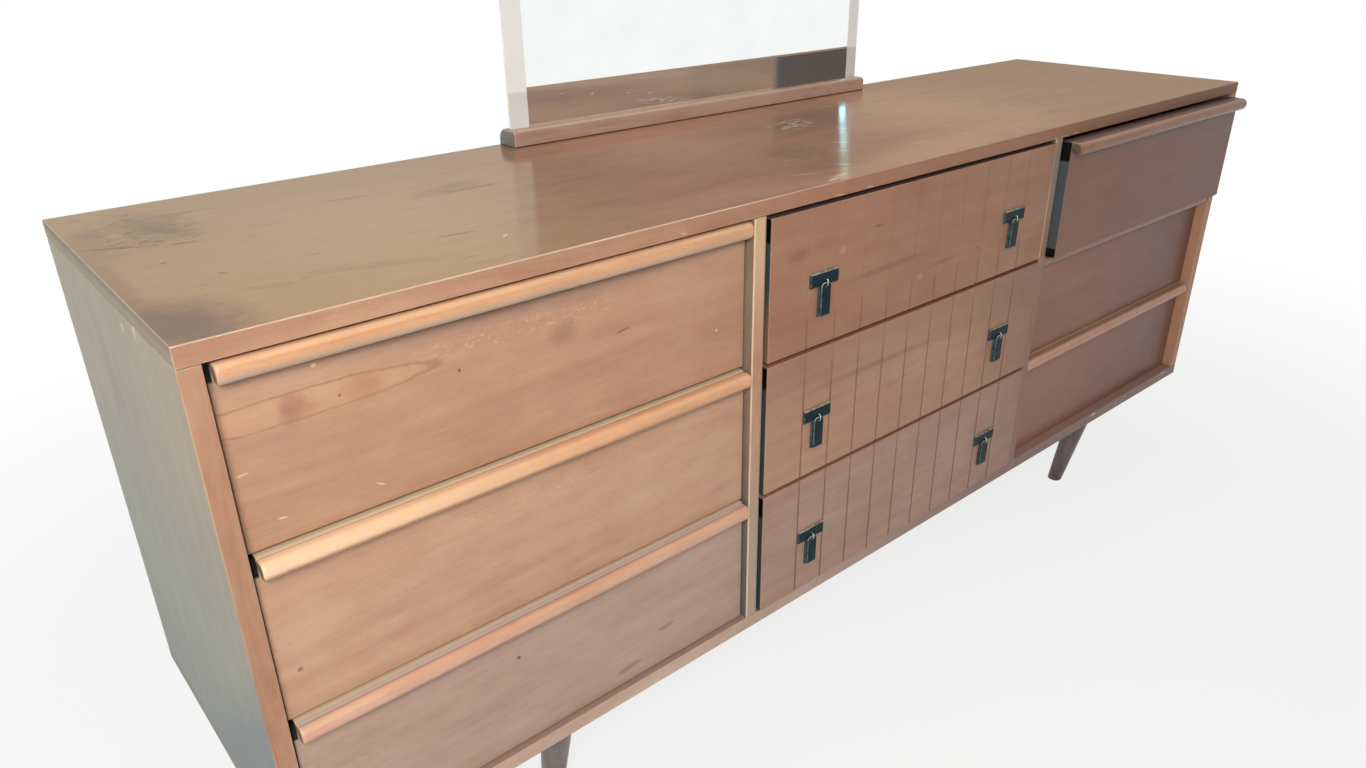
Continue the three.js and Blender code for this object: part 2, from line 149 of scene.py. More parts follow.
class Coat(Nodes):
    """A material with a running colour, which each tint goes over. Tints are written as they look on a screen."""

    def __init__(self, name):
        self.material = bpy.data.materials.new(name)
        self.material.use_nodes = True
        super().__init__(self.material.node_tree)
        self.shader = self.nodes["Principled BSDF"]
        self.place = self.add("TexCoord").outputs["Object"]
        self.x, self.y, self.z = self.add("SeparateXYZ", {0: self.place}).outputs
        self.normal = self.add("NewGeometry").outputs["Normal"]
        self.faces = self.add("SeparateXYZ", {0: self.normal}).outputs
        self.colour = self.fibres = None

    def moved(self, place, turn=(0, 0, 0), shift=(0, 0, 0), scale=(1, 1, 1), kind="POINT"):
        inputs = {"Vector": place, "Rotation": turn, "Location": shift, "Scale": scale}
        return self.add("Mapping", inputs, vector_type=kind).outputs[0]

    def noise(self, sizes, detail=2.0, roughness=0.5, place=None):
        """Cloudy values about 0.5, with features about as long as sizes along each axis."""
        scaled = self.moved(place or self.place, scale=[1 / size for size in sizes])
        inputs = {"Vector": scaled, "Scale": 1.0, "Detail": detail, "Roughness": roughness}
        return self.add("TexNoise", inputs).outputs["Fac"]

    def length(self, vector):
        return self.add("VectorMath", {0: vector}, operation="LENGTH").outputs["Value"]

    def slope(self, direction, low, high, most=1.0):
        """0 to most as a point moves from low to high along a direction."""
        dot = self.add("VectorMath", {0: self.place, 1: direction}, operation="DOT_PRODUCT")
        return self.fit(dot.outputs["Value"], low, high, 0, most)

    def ramp(self, value, stops):
        node = self.add("ValToRGB", {0: value})
        elements = node.color_ramp.elements
        while len(elements) < len(stops):
            elements.new(0.5)
        for element, (position, colour) in zip(elements, stops):
            element.position = position
            element.color = colour
        return node.outputs[0]

    def facing(self, axis):
        """1 on faces that look along the axis, such as -Y, and 0 elsewhere."""
        sign = 1 if axis[0] == "+" else -1
        return self.fit(self.faces["XYZ".index(axis[1])], 0.85 * sign, 0.95 * sign)

    def steepness(self, axis):
        return self.sum("ABSOLUTE", self.faces["XYZ".index(axis)])

    def ends(self):
        return self.fit(self.steepness("X"), 0.85, 0.95)

    def eased(self):
        """1 on the chamfers and round edges, whose normal is along no axis."""
        largest = self.sum("MAXIMUM", self.steepness("X"), self.steepness("Y"))
        return self.fit(self.sum("MAXIMUM", largest, self.steepness("Z")), 0.95, 0.88)

    def reach(self, centre, halves, ragged, turn=(0, 0, 0)):
        """The distance from a centre in half-lengths along each axis, roughened by noise."""
        distance = self.length(self.moved(self.place, turn=turn, shift=centre, scale=halves, kind="TEXTURE"))
        if not ragged:
            return distance
        edge = self.noise([min(max(half * 0.7, 0.002), 0.02) for half in halves], 4, 0.65)
        return self.sum("ADD", distance, self.product(self.sum("SUBTRACT", edge, 0.5), ragged))

    def mix(self, share, first, second, blend="MIX"):
        return self.add("Mix", {0: share, 6: first, 7: second}, data_type="RGBA", blend_type=blend).outputs[2]

    def over(self, share, colour):
        """Mixes a colour over the running one."""
        self.colour = self.mix(share, self.colour, colour)

    def under(self, share, colour):
        """Mixes the running colour over another."""
        self.colour = self.mix(share, colour, self.colour)

    def tint(self, shade, *shares):
        """Mixes a tint over the running colour by the product of the shares."""
        self.over(self.product(*shares), srgb(*shade))

    def wash(self, shade, *slope):
        """A tint that grows along a slope."""
        self.tint(shade, self.slope(*slope))

    def blot(self, shade, strength, centre, halves, turn=(0, 0, 0), soft=0.5, ragged=0.0):
        """Tints an ellipsoid, which fades out over the soft share of its half-lengths."""
        distance = self.reach(centre, halves, ragged, turn)
        self.tint(shade, self.fit(distance, 1 + soft / 2, 1 - soft / 2, 0, strength))

    def flecks(self, shade, zone, sizes, least, strength):
        """Specks and scratches where fine noise is at its highest, inside a zone from 0 to 1."""
        specks = self.fit(self.noise(sizes, 2, 0.7), least, least + 0.03)
        self.tint(shade, specks, zone, strength)

    def worn_edges(self, strength, along, shade=CREAM, least=0.25):
        """The lacquer of chamfers and round edges is rubbed through in stretches."""
        lengths = [0.1 if axis == along else 0.01 for axis in "XYZ"]
        stretches = self.fit(self.noise(lengths, 4, 0.65), 0.4, 0.52, least, 1)
        self.tint(shade, self.eased(), stretches, strength)

    def wood(self, along, shades, shift, calm=0.6, tone=1.0):
        """Wood's colour: long streaks, finer fibres and cloudy patches choose a shade from dark to light, and pores
        darken it in short dashes. All are noise stretched along the grain, and calm narrows their range."""
        lined = self.moved(self.place, turn=GRAIN_TURNS[along], shift=shift)
        bend = self.product(self.noise((0.5, 0.14, 0.14), 2, place=lined), 0.05)
        offset = self.add("CombineXYZ", {"Y": bend, "Z": bend}).outputs[0]
        bent = self.add("VectorMath", {0: lined, 1: offset}, operation="ADD").outputs[0]
        streaks = self.noise((0.45, 0.014, 0.014), 3, 0.55, bent)
        fibres = self.noise((0.06, 0.0014, 0.0014), 3, 0.6, bent)
        self.fibres = self.fibres or fibres
        clouds = self.noise((0.16, 0.07, 0.07), 3, 0.5, lined)
        mottle = self.noise((0.05, 0.022, 0.022), 3, 0.55, lined)
        total = self.product(streaks, 0.28)
        for part, share in ((clouds, 0.3), (mottle, 0.24), (fibres, 0.18)):
            total = self.sum("ADD", total, self.product(part, share))
        dark, middle, light = toned(shades, tone)
        spread = 0.08 / calm
        self.colour = self.ramp(total, [(0.5 - spread, dark), (0.5, middle), (0.5 + spread, light)])
        pores = self.fit(self.noise((0.011, 0.0007, 0.0007), 1, place=bent), 0.66, 0.72, 0, 0.28)
        self.over(pores, toned(shades, np.multiply(tone, 0.55))[0])

    def give(self, inputs):
        """Sets the shader's inputs and gives back the material."""
        for name, value in inputs.items():
            self.feed(self.shader.inputs[name], value)
        return self.material

    def lacquered(self, roughness, specular, relief=0.12, dull=0.0):
        """The first wood's fibres show in the lacquer's gloss and relief. Where dull is 1 it has lost its gloss."""
        gloss = self.fit(self.fibres, 0.3, 0.7, roughness - 0.03, roughness + 0.05)
        inputs = {"Height": self.fibres, "Strength": relief, "Distance": 0.0003, "Normal": self.normal}
        return self.give({"Base Color": self.colour, "Specular IOR Level": specular,
                          "Roughness": self.sum("ADD", gloss, self.product(dull, 0.4)),
                          "Normal": self.add("Bump", inputs).outputs[0]})


# Marks on the top: tint, strength, centre and half-lengths in millimetres, turn in degrees, softness, raggedness
TOP_MARKS = [
    ((110, 94, 76), 0.6, -833, 122, 28, 50, 10, 1.4, 2),
    ((92, 78, 64), 0.45, -828, 104, 10, 24, 15, 1, 2),
    ((112, 94, 76), 0.5, -889, 136, 12, 17, 0, 1.4, 1.8),
    ((84, 66, 56), 0.65, -885, 70, 26, 3.5, -28, 0.7, 1.2),
    ((90, 72, 60), 0.6, -828, 43, 12, 3, -20, 0.7, 1),
    ((92, 74, 62), 0.6, -830, -74, 4, 3, 0, 0.6, 0.6),
    ((92, 74, 62), 0.6, -861, -10, 4, 3, 0, 0.6, 0.6),
    ((128, 108, 92), 0.35, -810, -139, 20, 5, -20, 1.4, 2.4),
    ((128, 110, 94), 0.35, -715, -148, 52, 7, -20, 1.4, 2.4),
    ((92, 70, 58), 0.6, -518, 43, 32, 4, 0, 0.8, 1.4),
    ((104, 80, 66), 0.5, -540, 60, 40, 16, 10, 1.4, 1.6),
    ((98, 80, 78), 0.8, -903, -180, 46, 62, 25, 1.4, 1),
    ((124, 96, 84), 0.5, -912, -60, 12, 90, 0, 1.4, 1.4),
    ((132, 108, 92), 0.45, -905, 80, 20, 60, 0, 1.6, 1.4),
    ((240, 222, 190), 0.9, -585, -146, 5, 1.4, 35, 0.5, 0.6),
    ((238, 220, 192), 0.8, -184, -172, 20, 1.6, -20, 0.6, 1.2),
    ((238, 220, 192), 0.85, -178, -212, 12, 3, 10, 0.8, 1.4),
    ((142, 96, 80), 0.5, -20, -90, 90, 60, 10, 1.6, 1.6),
    ((134, 92, 74), 0.55, -140, -160, 80, 34, 10, 1.6, 1.6),
    ((194, 154, 124), 0.4, -200, 30, 120, 60, 0, 1.8, 1.6),
    ((128, 104, 92), 0.5, 70, 90, 120, 90, 20, 1.8, 1.4),
    ((198, 164, 126), 0.4, 290, -20, 120, 160, 0, 1.6, 1.2),
    ((206, 176, 136), 0.35, -660, -20, 130, 150, 0, 1.8, 1.2),
    ((108, 80, 68), 0.4, -112, -78, 42, 40, 10, 1.6, 1.4),
    ((116, 90, 80), 0.35, 170, 130, 70, 40, 15, 1.6, 1.6),
    ((112, 90, 74), 0.45, 905, 175, 60, 50, 0, 1.6, 1.2),
    ((190, 148, 126), 0.4, -760, -70, 100, 26, -12, 1.8, 2.2),
    ((190, 150, 128), 0.4, -700, 110, 110, 30, -6, 1.8, 2.2),
    ((104, 86, 72), 0.5, -800, 160, 34, 3, -4, 0.9, 1.8),
    ((104, 86, 72), 0.45, -640, 96, 26, 2.5, -4, 0.9, 1.8),
    ((104, 86, 72), 0.5, -620, -110, 18, 2.2, -6, 0.9, 1.8),
    ((208, 168, 136), 0.42, 60, -195, 190, 40, 6, 1.6, 1.2),
    ((200, 158, 132), 0.3, -300, -185, 110, 28, 0, 1.6, 1.6),
    ((232, 244, 226), 0.85, -13, -79, 13, 1.1, -43, 0.6, 0.5),
    ((232, 244, 226), 0.7, -53, -117, 9, 1.2, -43, 0.6, 0.6),
    ((232, 244, 222), 0.75, -112, -168, 11, 1.2, -43, 0.6, 0.6),
    ((232, 248, 246), 0.7, 36, -38, 8, 1, -43, 0.6, 0.5),
    ((232, 248, 246), 0.7, 64, -14, 8, 1, -43, 0.6, 0.5),
    ((216, 186, 164), 0.6, -160, -203, 16, 4, 8, 0.9, 1.2),
]
TOP_LEVEL = 0.7375


def top_finish():
    coat = Coat("top_veneer")
    coat.wood("X", TOP_SHADES, (0.3, 0.1, 0.2), 0.34)
    # Painted reflection: olive towards the left end, where the top reflects the wall beside the mirror
    olive = coat.slope((-1, 0, 0), 0.3, 0.75)
    coat.tint((182, 152, 110), olive, 0.6)
    coat.wash((140, 116, 88), (1, 0, 0), 0.42, 0.75, 0.45)
    for tint, strength, x, y, long, wide, turn, soft, ragged in TOP_MARKS:
        coat.blot(tint, strength, (x * MM, y * MM, TOP_LEVEL), (long * MM, wide * MM, 0.012),
                  (0, 0, radians(turn)), soft, ragged)
    coat.flecks((107, 76, 58), 1, (0.006, 0.0022, 0.01), 0.72, 0.5)
    coat.flecks((122, 100, 76), olive, (0.03, 0.004, 0.01), 0.67, 0.5)
    stained = coat.reach((-0.845, 0.12, TOP_LEVEL), (0.05, 0.075, 0.02), 1)
    coat.flecks((78, 66, 54), coat.fit(stained, 1.4, 0.5), (0.012, 0.0022, 0.01), 0.55, 0.8)
    rubbed = coat.reach((0.03, 0.055, TOP_LEVEL), (0.05, 0.03, 0.02), 0.8, (0, 0, 0.3))
    coat.flecks((238, 226, 208), coat.fit(rubbed, 1.2, 0.6), (0.018, 0.004, 0.01), 0.55, 0.7)
    surface = coat.colour
    coat.wood("X", BAND_SHADES, (1.3, 0.4, 0.7))
    # The band goes darker to the right, partly in its wood's own tone and partly as painted shade where the light
    # falls off
    coat.wash((169, 123, 97), (1, 0, 0), -0.55, 0.05, 0.8)
    coat.wash((132, 102, 80), (1, 0, 0), 0.1, 0.8, 0.65)
    rubbed_left = coat.fit(coat.x, -0.36, -0.1, 1, 0.12)
    broken = coat.fit(coat.noise((0.05, 0.01, 0.01), 4, 0.6), 0.4, 0.6, 0.35, 0.85)
    coat.tint((246, 228, 204), coat.fit(coat.z, 0.7362, 0.7367), rubbed_left, broken)
    for x, z, long in ((-0.177, 0.7205, 9), (-0.124, 0.721, 7), (0.325, 0.7205, 14), (0.352, 0.7215, 9),
                       (0.3, 0.72, 7), (-0.42, 0.7225, 4)):
        coat.blot((226, 196, 170), 0.7, (x, CASE_FRONT, z), (long * MM, 0.01, 0.9 * MM), (0, 0.12, 0), 0.8, 2.4)
    coat.under(coat.facing("-Y"), surface)
    front_and_surface = coat.colour
    coat.wood("Y", SIDE_SHADES, (0.2, 0.9, 0.4))
    coat.tint((122, 100, 86), coat.fit(coat.z, 0.7275, 0.734, 0.1, 0.8))
    coat.under(coat.ends(), front_and_surface)
    # Painted shade on the underside
    coat.tint(SHADE_AND_SPECKS, coat.facing("-Z"))
    coat.worn_edges(coat.product(rubbed_left, 0.7), "X", (246, 230, 206), 0.6)
    glossy = coat.sum("MAXIMUM", coat.facing("+Z"), coat.eased())
    return coat.lacquered(0.13, 0.3, relief=0.05, dull=coat.sum("SUBTRACT", 1, glossy))


def plain_finish(name, along, shades, shift, roughness, specular=0.25):
    coat = Coat(name)
    coat.wood(along, shades, shift)
    return coat.lacquered(roughness, specular)


def side_finish():
    """Brown outside, painted cooler and darker towards the left panel's foot, and band wood on the front edge and
    inside.
    """
    coat = Coat("side_veneer")
    coat.wood("Z", SIDE_SHADES, (0.1, 0.5, 0.9))
    left_side = coat.slope((-1, 0, 0), 0, 0.9)
    # Painted cool reflection and painted shade on the left panel, both growing towards its foot
    coat.tint((108, 120, 112), coat.slope((0, 0, -1), -0.7, -0.3), left_side, 0.45)
    coat.tint((86, 96, 98), coat.slope((0, 0, -1), -0.42, -0.16, 0.45), left_side)
    coat.wash((158, 132, 108), (0, -0.8, 0.6), 0.36, 0.58, 0.45)
    # Painted shadow over the left panel's front foot
    coat.tint((80, 86, 96), coat.slope((0, -0.615, -0.788), -0.215, -0.14, 0.65), left_side)
    for y, z, tall in ((-0.105, 0.714, 6), (-0.058, 0.704, 4)):
        coat.blot(CREAM, 0.9, (-0.915, y, z), (0.02, 0.002, tall * MM), soft=0.6, ragged=0.8)
    outside = coat.colour
    coat.wood("Z", BAND_SHADES, (0.6, 0.2, 0.4), tone=0.8)
    # Painted light: the right panel's inside is lighter where it stands in the bay's shade
    coat.wash((214, 162, 132), (1, 0, 0), 0, 0.9, 0.85)
    coat.over(coat.fit(coat.off(coat.x), 0.9, 0.91), outside)
    faces = coat.colour
    coat.wood("Z", BAND_SHADES, (0.9, 0.1, 0.3))
    coat.flecks(SHADE_AND_SPECKS, 1, (0.004, 0.004, 0.012), 0.73, 0.5)
    coat.wash((196, 146, 116), (1, 0, 0), 0, 0.9, 0.8)
    coat.under(coat.facing("-Y"), faces)
    coat.worn_edges(0.8, "Z")
    # The grey-green sheen stands in for the reflection of a grey-green wall at grazing angles
    coat.give({"Sheen Weight": 0.18, "Sheen Roughness": 0.25, "Sheen Tint": srgb(196, 222, 206)})
    return coat.lacquered(0.42, 0.25)


def bottom_finish():
    """Pale and greyish, and darker to the right with a few small white scuffs."""
    coat = Coat("bottom_veneer")
    coat.wood("X", BOTTOM_SHADES, (0.4, 0.8, 0.3))
    coat.wash((142, 116, 108), (1, 0, 0), -0.6, 0.4, 0.9)
    for x, z, long in ((0.672, 0.165, 2.2), (0.705, 0.168, 2.2), (0.585, 0.17, 9), (0.86, 0.171, 12)):
        coat.blot((226, 206, 198), 0.85, (x, CASE_FRONT, z), (long * MM, 0.006, 2 * MM), soft=0.8, ragged=0.8)
    coat.tint((172, 138, 126), coat.fit(coat.steepness("Z"), 0.85, 0.95))
    coat.worn_edges(0.6, "X")
    # Grey-green ends, a painted cool reflection as on the side panel
    coat.tint((116, 116, 106), coat.ends())
    coat.tint((122, 114, 102), coat.fit(coat.off(coat.x), 0.9, 0.905), 0.8)
    return coat.lacquered(0.45, 0.25)


# The tints of each divider's front near its top and near its foot, and how low its cream arris reaches
DIVIDER_TINTS = {"divider_left": ((222, 182, 144), (190, 166, 148), 0.1),
                 "divider_right": ((166, 148, 138), (158, 120, 102), 0.53)}


def divider_finish(name, index):
    """Grey-brown faces, and a tan front with its left arris rubbed to cream and a grey line down its right."""
    coat = Coat(f"{name}_veneer")
    low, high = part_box(name)
    upper_tint, lower_tint, arris_foot = DIVIDER_TINTS[name]
    coat.wood("Z", DIVIDER_SHADES, (index, 0.3, 0.2))
    coat.wash((112, 112, 116), (0, 0, -1), -0.5, -0.25)
    faces = coat.colour
    coat.wood("Z", BAND_SHADES, (index, 0.8, 0.6), tone=1.15)
    coat.wash(upper_tint, (0, 0, 1), 0.52, 0.68)
    coat.wash(lower_tint, (0, 0, -1), -0.6, -0.5 if index else -0.2)
    rubbed = coat.fit(coat.noise((0.01, 0.01, 0.06), 4, 0.6), 0.3, 0.45, 0.4, 0.95)
    above_foot = coat.slope((0, 0, 1), arris_foot, arris_foot + 0.02)
    coat.tint((246, 222, 182), coat.fit(coat.x, low[0] + 0.0028, low[0] + 0.002), rubbed, above_foot)
    coat.tint((128, 126, 120), coat.fit(coat.x, high[0] - 0.003, high[0] - 0.002, 0, 0.6), above_foot)
    coat.under(coat.facing("-Y"), faces)
    coat.worn_edges(above_foot, "Z")
    return coat.lacquered(0.42, 0.25)


# Marks on the drawer fronts, written as the top's are, with centres and half-lengths along X and Z
FRONT_MARKS = {
    "left_top": [
        ((226, 176, 138), 0.32, -815, 657, 110, 13, 0, 0.8, 0.5),
        ((164, 110, 92), 0.55, -831, 658, 13, 9, -30, 1.5, 1.6),
        ((160, 106, 88), 0.4, -838, 650, 7, 10, 20, 1.2, 1.4),
        ((172, 116, 94), 0.45, -771, 657, 17, 10, -10, 1.5, 1.4),
        ((176, 136, 118), 0.4, -860, 634, 40, 9, 0, 1.5, 1.2),
        (CREAM, 0.7, -883, 612, 5, 0.8, 4, 0.6, 0.8),
        (CREAM, 0.7, -771, 559, 5, 0.8, -30, 0.6, 0.8),
        (CREAM, 0.8, -859, 561, 4, 1, -12, 0.6, 0.8),
        ((96, 66, 54), 0.7, -682, 644, 1.6, 1.8, 0, 0.5, 0.4),
        ((96, 66, 54), 0.6, -794, 655, 1.5, 1.5, 0, 0.5, 0.4),
        (CREAM, 0.9, -811, 688, 2.2, 2, 0, 0.6, 0.4),
        ((150, 110, 90), 0.45, -567, 649, 16, 11, 10, 1.2, 0.8),
        ((120, 84, 68), 0.6, -494, 632, 9, 1.6, 8, 0.8, 0.6),
        (CREAM, 0.9, -363, 596, 1.6, 1.6, 0, 0.5, 0.3),
    ],
    "left_middle": [
        ((110, 78, 64), 0.6, -873, 406, 2.4, 2.4, 0, 0.6, 0.4),
    ],
    "left_bottom": [
        ((84, 62, 54), 0.8, -654, 295, 2.2, 2.2, 0, 0.5, 0.4),
        ((130, 100, 88), 0.5, -508, 196, 16, 4, 6, 1.2, 1),
        ((130, 100, 88), 0.5, -449, 227, 12, 3, 6, 1.2, 1),
    ],
    "centre_top": [
        ((132, 92, 74), 0.45, -248, 661, 15, 7, 5, 1.2, 0.6),
        ((204, 172, 148), 0.4, -170, 652, 5, 5, 0, 1, 0.5),
        ((118, 78, 64), 0.5, -105, 670, 9, 1.8, 0, 0.8, 0.6),
        ((124, 84, 68), 0.45, 43, 592, 26, 3, 3, 1.2, 0.8),
        ((110, 76, 62), 0.5, 121, 594, 3, 3, 0, 0.8, 0.4),
        ((124, 86, 70), 0.4, -76, 611, 70, 4, 2, 1.4, 1),
        ((206, 170, 144), 0.4, -10, 581, 6, 5, 0, 1, 0.5),
    ],
    "centre_middle": [
        ((128, 90, 74), 0.4, -90, 478, 105, 4, 0, 1.4, 1),
    ],
    "centre_bottom": [
        ((204, 168, 144), 0.35, 16, 235, 22, 3, 0, 1, 0.8),
    ],
}

# The share of painted grey shade under each outer drawer's lip
UNDER_LIP_SHADE = by_drawer(left=(0.55, 0.15, 0.2), right=(0.4, 0.3, 0.3))
# The darker tones towards the right are partly the wood's own, partly painted shade where the light falls off
# Red, green and blue of each drawer's front, in shares of the shades
FRONT_TONES = by_drawer(
    left=((1.04, 1.08, 1.12), (1.16, 1.28, 1.36), (0.98, 1.22, 1.56)),
    centre=((0.8, 0.74, 0.72), (0.98, 1.02, 1.06), (0.91, 1.02, 1.28)),
    right=((0.5, 0.42, 0.42), (0.68, 0.56, 0.6), (0.7, 0.62, 0.69)))
# The slopes along which fronts go darker; on the right column they are painted shade, where the light falls off
FRONT_WASHES = {
    "centre_middle": [((116, 78, 66), (1, 0, 0), 0.1, 0.3, 0.4), ((120, 84, 74), (0, 0, 1), 0.44, 0.52, 0.26)],
    "centre_bottom": [((116, 78, 66), (1, 0, 0), 0.1, 0.3, 0.22)],
    **by_drawer(right=[[((72, 58, 54), (1, 0, 0), 0.38, 0.85, most)] for most in (0.12, 0.42, 0.38)]),
}
# The tint of a front's upper edge and of its ends: painted shade on the top row's edges under the case top, painted
# light on the others', cream where none is listed, and painted shade on the ends
FRONT_TOPS = {"left_top": (96, 78, 74), "right_top": (96, 78, 74), "centre_top": (96, 78, 74),
              "centre_middle": (178, 118, 96), "centre_bottom": (178, 124, 104)}
END_TINTS = {"left": (92, 64, 52), "centre": (62, 74, 76), "right": (82, 92, 98)}


def shade_under_lip(coat, name, low, high):
    """Painted shade under the lip: a soft grey band, darkest at the lip, with a fringe of pale flecks at its foot."""
    lip_foot = high[2] - LIP_HEIGHT
    ripple = coat.sum("SUBTRACT", coat.noise((0.03, 0.03, 0.012), 3), 0.5)
    level = coat.sum("ADD", coat.z, coat.product(ripple, 0.014))
    off_centre = coat.off(coat.x, (low[0] + high[0]) / 2)
    span = coat.fit(off_centre, 0.27, 0.05, 0.3, 1)
    coat.tint((116, 108, 102), coat.fit(level, lip_foot - 0.026, lip_foot - 0.002), span, UNDER_LIP_SHADE[name])
    if name in ("left_top", "left_middle"):
        fringe = coat.fit(coat.off(level, lip_foot - 0.03), 0.014, 0)
        fringe = coat.product(fringe, coat.fit(off_centre, 0.14, 0.06))
        coat.flecks(CREAM, fringe, (0.004, 0.004, 0.0016), 0.62, 0.8)


# Heights between which the grooves of each centre drawer fade, and their least and most darkness
GROOVES = by_drawer(centre=((0.62, 0.56, 0.0, 0.4), (0.53, 0.47, 0.2, 0.55), (0.35, 0.3, 0.45, 0.6)))


def grooved(coat, name):
    """The grooves between the planks are dark inside. Up the top drawer their flanks take the flat front's normal
    and are painted lighter, painted light that cancels their own shade, so that they fade from view."""
    unworn = coat.colour
    coat.worn_edges(0.7, "X")
    flank = coat.product(coat.eased(), coat.fit(coat.steepness("X"), 0.2, 0.3))
    groove = coat.product(flank, coat.fit(coat.off(coat.x), 0.28, 0.275))
    top, foot, least, most = GROOVES[name]
    inside = coat.mix(coat.fit(coat.z, top, foot, least, most), unworn, srgb(104, 70, 56))
    if name == "centre_top":
        groove_hidden = coat.product(groove, coat.fit(coat.z, foot, top))
        blend = coat.add("Mix", {0: groove_hidden, 4: coat.normal, 5: (0, -1, 0)}, data_type="VECTOR")
        coat.normal = blend.outputs[1]
        # Painted light: lighter flanks cancel the groove's own shade
        inside = coat.mix(groove_hidden, inside, (1.31, 1.35, 1.39, 1), "MULTIPLY")
    coat.over(groove, inside)


def front_finish(column, row, index):
    name = f"{column}_{row}"
    low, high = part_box(f"{name}_drawer_front")
    coat = Coat(f"front_veneer_{name}")
    shift = (0.37 * index, 0.21 * index + 0.1, 0.13 * index)
    coat.wood("X", FRONT_SHADES, shift, 0.4, FRONT_TONES[name])
    if name == "left_top":
        growth_ring = coat.off(coat.reach((-0.832, -0.21, 0.6575), (0.127, 0.3, 0.0125), 0.42), 1)
        coat.tint((136, 94, 76), coat.fit(growth_ring, 0.12, 0, 0, 0.55))
    for tint, strength, x, z, long, wide, turn, soft, ragged in FRONT_MARKS.get(name, ()):
        coat.blot(tint, strength, (x * MM, -0.215, z * MM), (long * MM, 0.04, wide * MM),
                  (0, radians(-turn), 0), soft, ragged)
    if column != "centre":
        shade_under_lip(coat, name, low, high)
        coat.worn_edges(0.5, "X")
    else:
        grooved(coat, name)
    for wash in FRONT_WASHES.get(name, ()):
        coat.wash(*wash)
    if name == "centre_top":
        coat.tint((232, 202, 172), coat.fit(coat.x, high[0] - 0.0026, high[0] - 0.0018),
                  coat.slope((0, 0, -1), -0.66, -0.64, 0.75))
    front = coat.colour
    # Painted shade on the ends seen in the gaps: dark slate, black over their upper end, and on the open right drawer
    # black at the foot too
    coat.colour = srgb(*END_TINTS[column])
    if name == "centre_top":
        coat.wash((128, 94, 78), (0, 0, -1), -0.64, -0.58)
    coat.wash(PITCH, (0, 0, 1), high[2] - 0.031, high[2] - 0.027)
    if name == "right_top":
        coat.wash(PITCH, (0, 0, -1), -low[2] - 0.016, -low[2] - 0.013)
    coat.under(coat.ends(), front)
    # Painted light and shade on the upper edges, and painted shade on the undersides
    coat.tint(FRONT_TOPS.get(name, CREAM), coat.facing("+Z"))
    coat.tint(SHADE_AND_SPECKS, coat.facing("-Z"))
    if column == "left":
        # Painted black shade in the gap down the left end and in the notch beside the lip's end
        notch = coat.product(coat.fit(coat.x, low[0] + 0.005, low[0] + 0.004),
                             coat.fit(coat.z, high[2] - 0.021, high[2] - 0.018))
        line = coat.fit(coat.x, low[0] + 0.0016, low[0] + 0.0008, 0, 0.5 if row == "top" else 0.2)
        coat.tint(PITCH, coat.sum("MAXIMUM", notch, line))
    return coat.lacquered(0.36, 0.22)


# Painted light on the upward ledge behind each row's rounded nose: its tint, how far it shows, and how far back it
# starts
LEDGES = {"top": ((222, 166, 128), 0.3, 8.6), "middle": ((240, 214, 192), 0.85, 13.4),
          "bottom": ((206, 190, 182), 0.9, 9.6)}
# The right column's darker tones are partly the wood's own, partly painted shade where the light falls off
# Red, green and blue of each lip, in shares of the shades
LIP_TONES = by_drawer(left=((1.02, 1.08, 1.12), (1.16, 1.2, 1.24), (1.02, 1.16, 1.48)),
                      right=((0.46, 0.41, 0.38), (0.6, 0.58, 0.6), (0.94, 0.92, 1.18)))


def lip_finish(column, row):
    """Orange-brown, with a crest paler in patches, partly rubbed and partly a painted highlight, a ledge behind it
    in painted light marked off by a dark line, and painted shade underneath.
    """
    name = f"{column}_{row}"
    _, nose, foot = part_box(f"{name}_lip_pull")[0]
    coat = Coat(f"lip_wood_{name}")
    tone = LIP_TONES[name]
    coat.wood("X", LIP_SHADES, (0.5, 0.2 + foot, 0.6), 0.5, tone)
    if name == "left_middle":
        coat.wash((254, 218, 180), (-1, 0, 0), 0.5, 0.85, 0.8)
    ledge_tint, shown, start = LEDGES[row]
    # On the right the ledge is painted a darker purple shade instead
    if column == "right":
        ledge_tint, shown = (150, 122, 120), 0.7 if row == "top" else 0.3
    underside_shade = (190, 180, 164) if name == "left_top" else (196, 154, 124)
    tints = toned((ledge_tint, (244, 206, 164), (150, 132, 120), underside_shade), min(tone[0], 1.0))
    ledge_tint, crest_highlight, end_tint, underside_shade = tints
    # Painted light on the upward ledge behind the nose
    behind = coat.fit(coat.y, nose + start * MM, nose + (start + 0.6) * MM)
    upward = coat.faces[2]
    coat.over(coat.product(coat.fit(upward, 0.9, 0.97), behind, shown), ledge_tint)
    if row != "top":
        from_line = coat.off(coat.y, nose + (start - 0.4) * MM)
        coat.tint((92, 64, 50), coat.fit(from_line, 0.0007, 0.0003, 0, 0.6))
    # The crest facing up and forward is paler in patches: partly rubbed wear, partly a painted highlight
    crest = coat.product(coat.fit(upward, 0.35, 0.6), coat.fit(upward, 0.97, 0.85))
    rubbed = coat.fit(coat.noise((0.2, 0.02, 0.02), 4, 0.6), 0.4, 0.6, 0.05, 0.4)
    coat.over(coat.product(crest, rubbed), crest_highlight)
    # Painted shade on the underside
    coat.over(coat.fit(upward, 0.05, -0.6, 0, 0.7), underside_shade)
    # Painted shade low on the nose of the left column's middle and bottom lips
    if column == "left" and row != "top":
        coat.tint((170, 122, 92), coat.fit(coat.z, foot + 0.0075, foot + 0.0035), 0.45)
    coat.flecks(SHADE_AND_SPECKS, 1, (0.006, 0.003, 0.003), 0.74, 0.4)
    # Grey ends, painted shade
    coat.over(coat.ends(), end_tint)
    return coat.lacquered(0.3, 0.3)


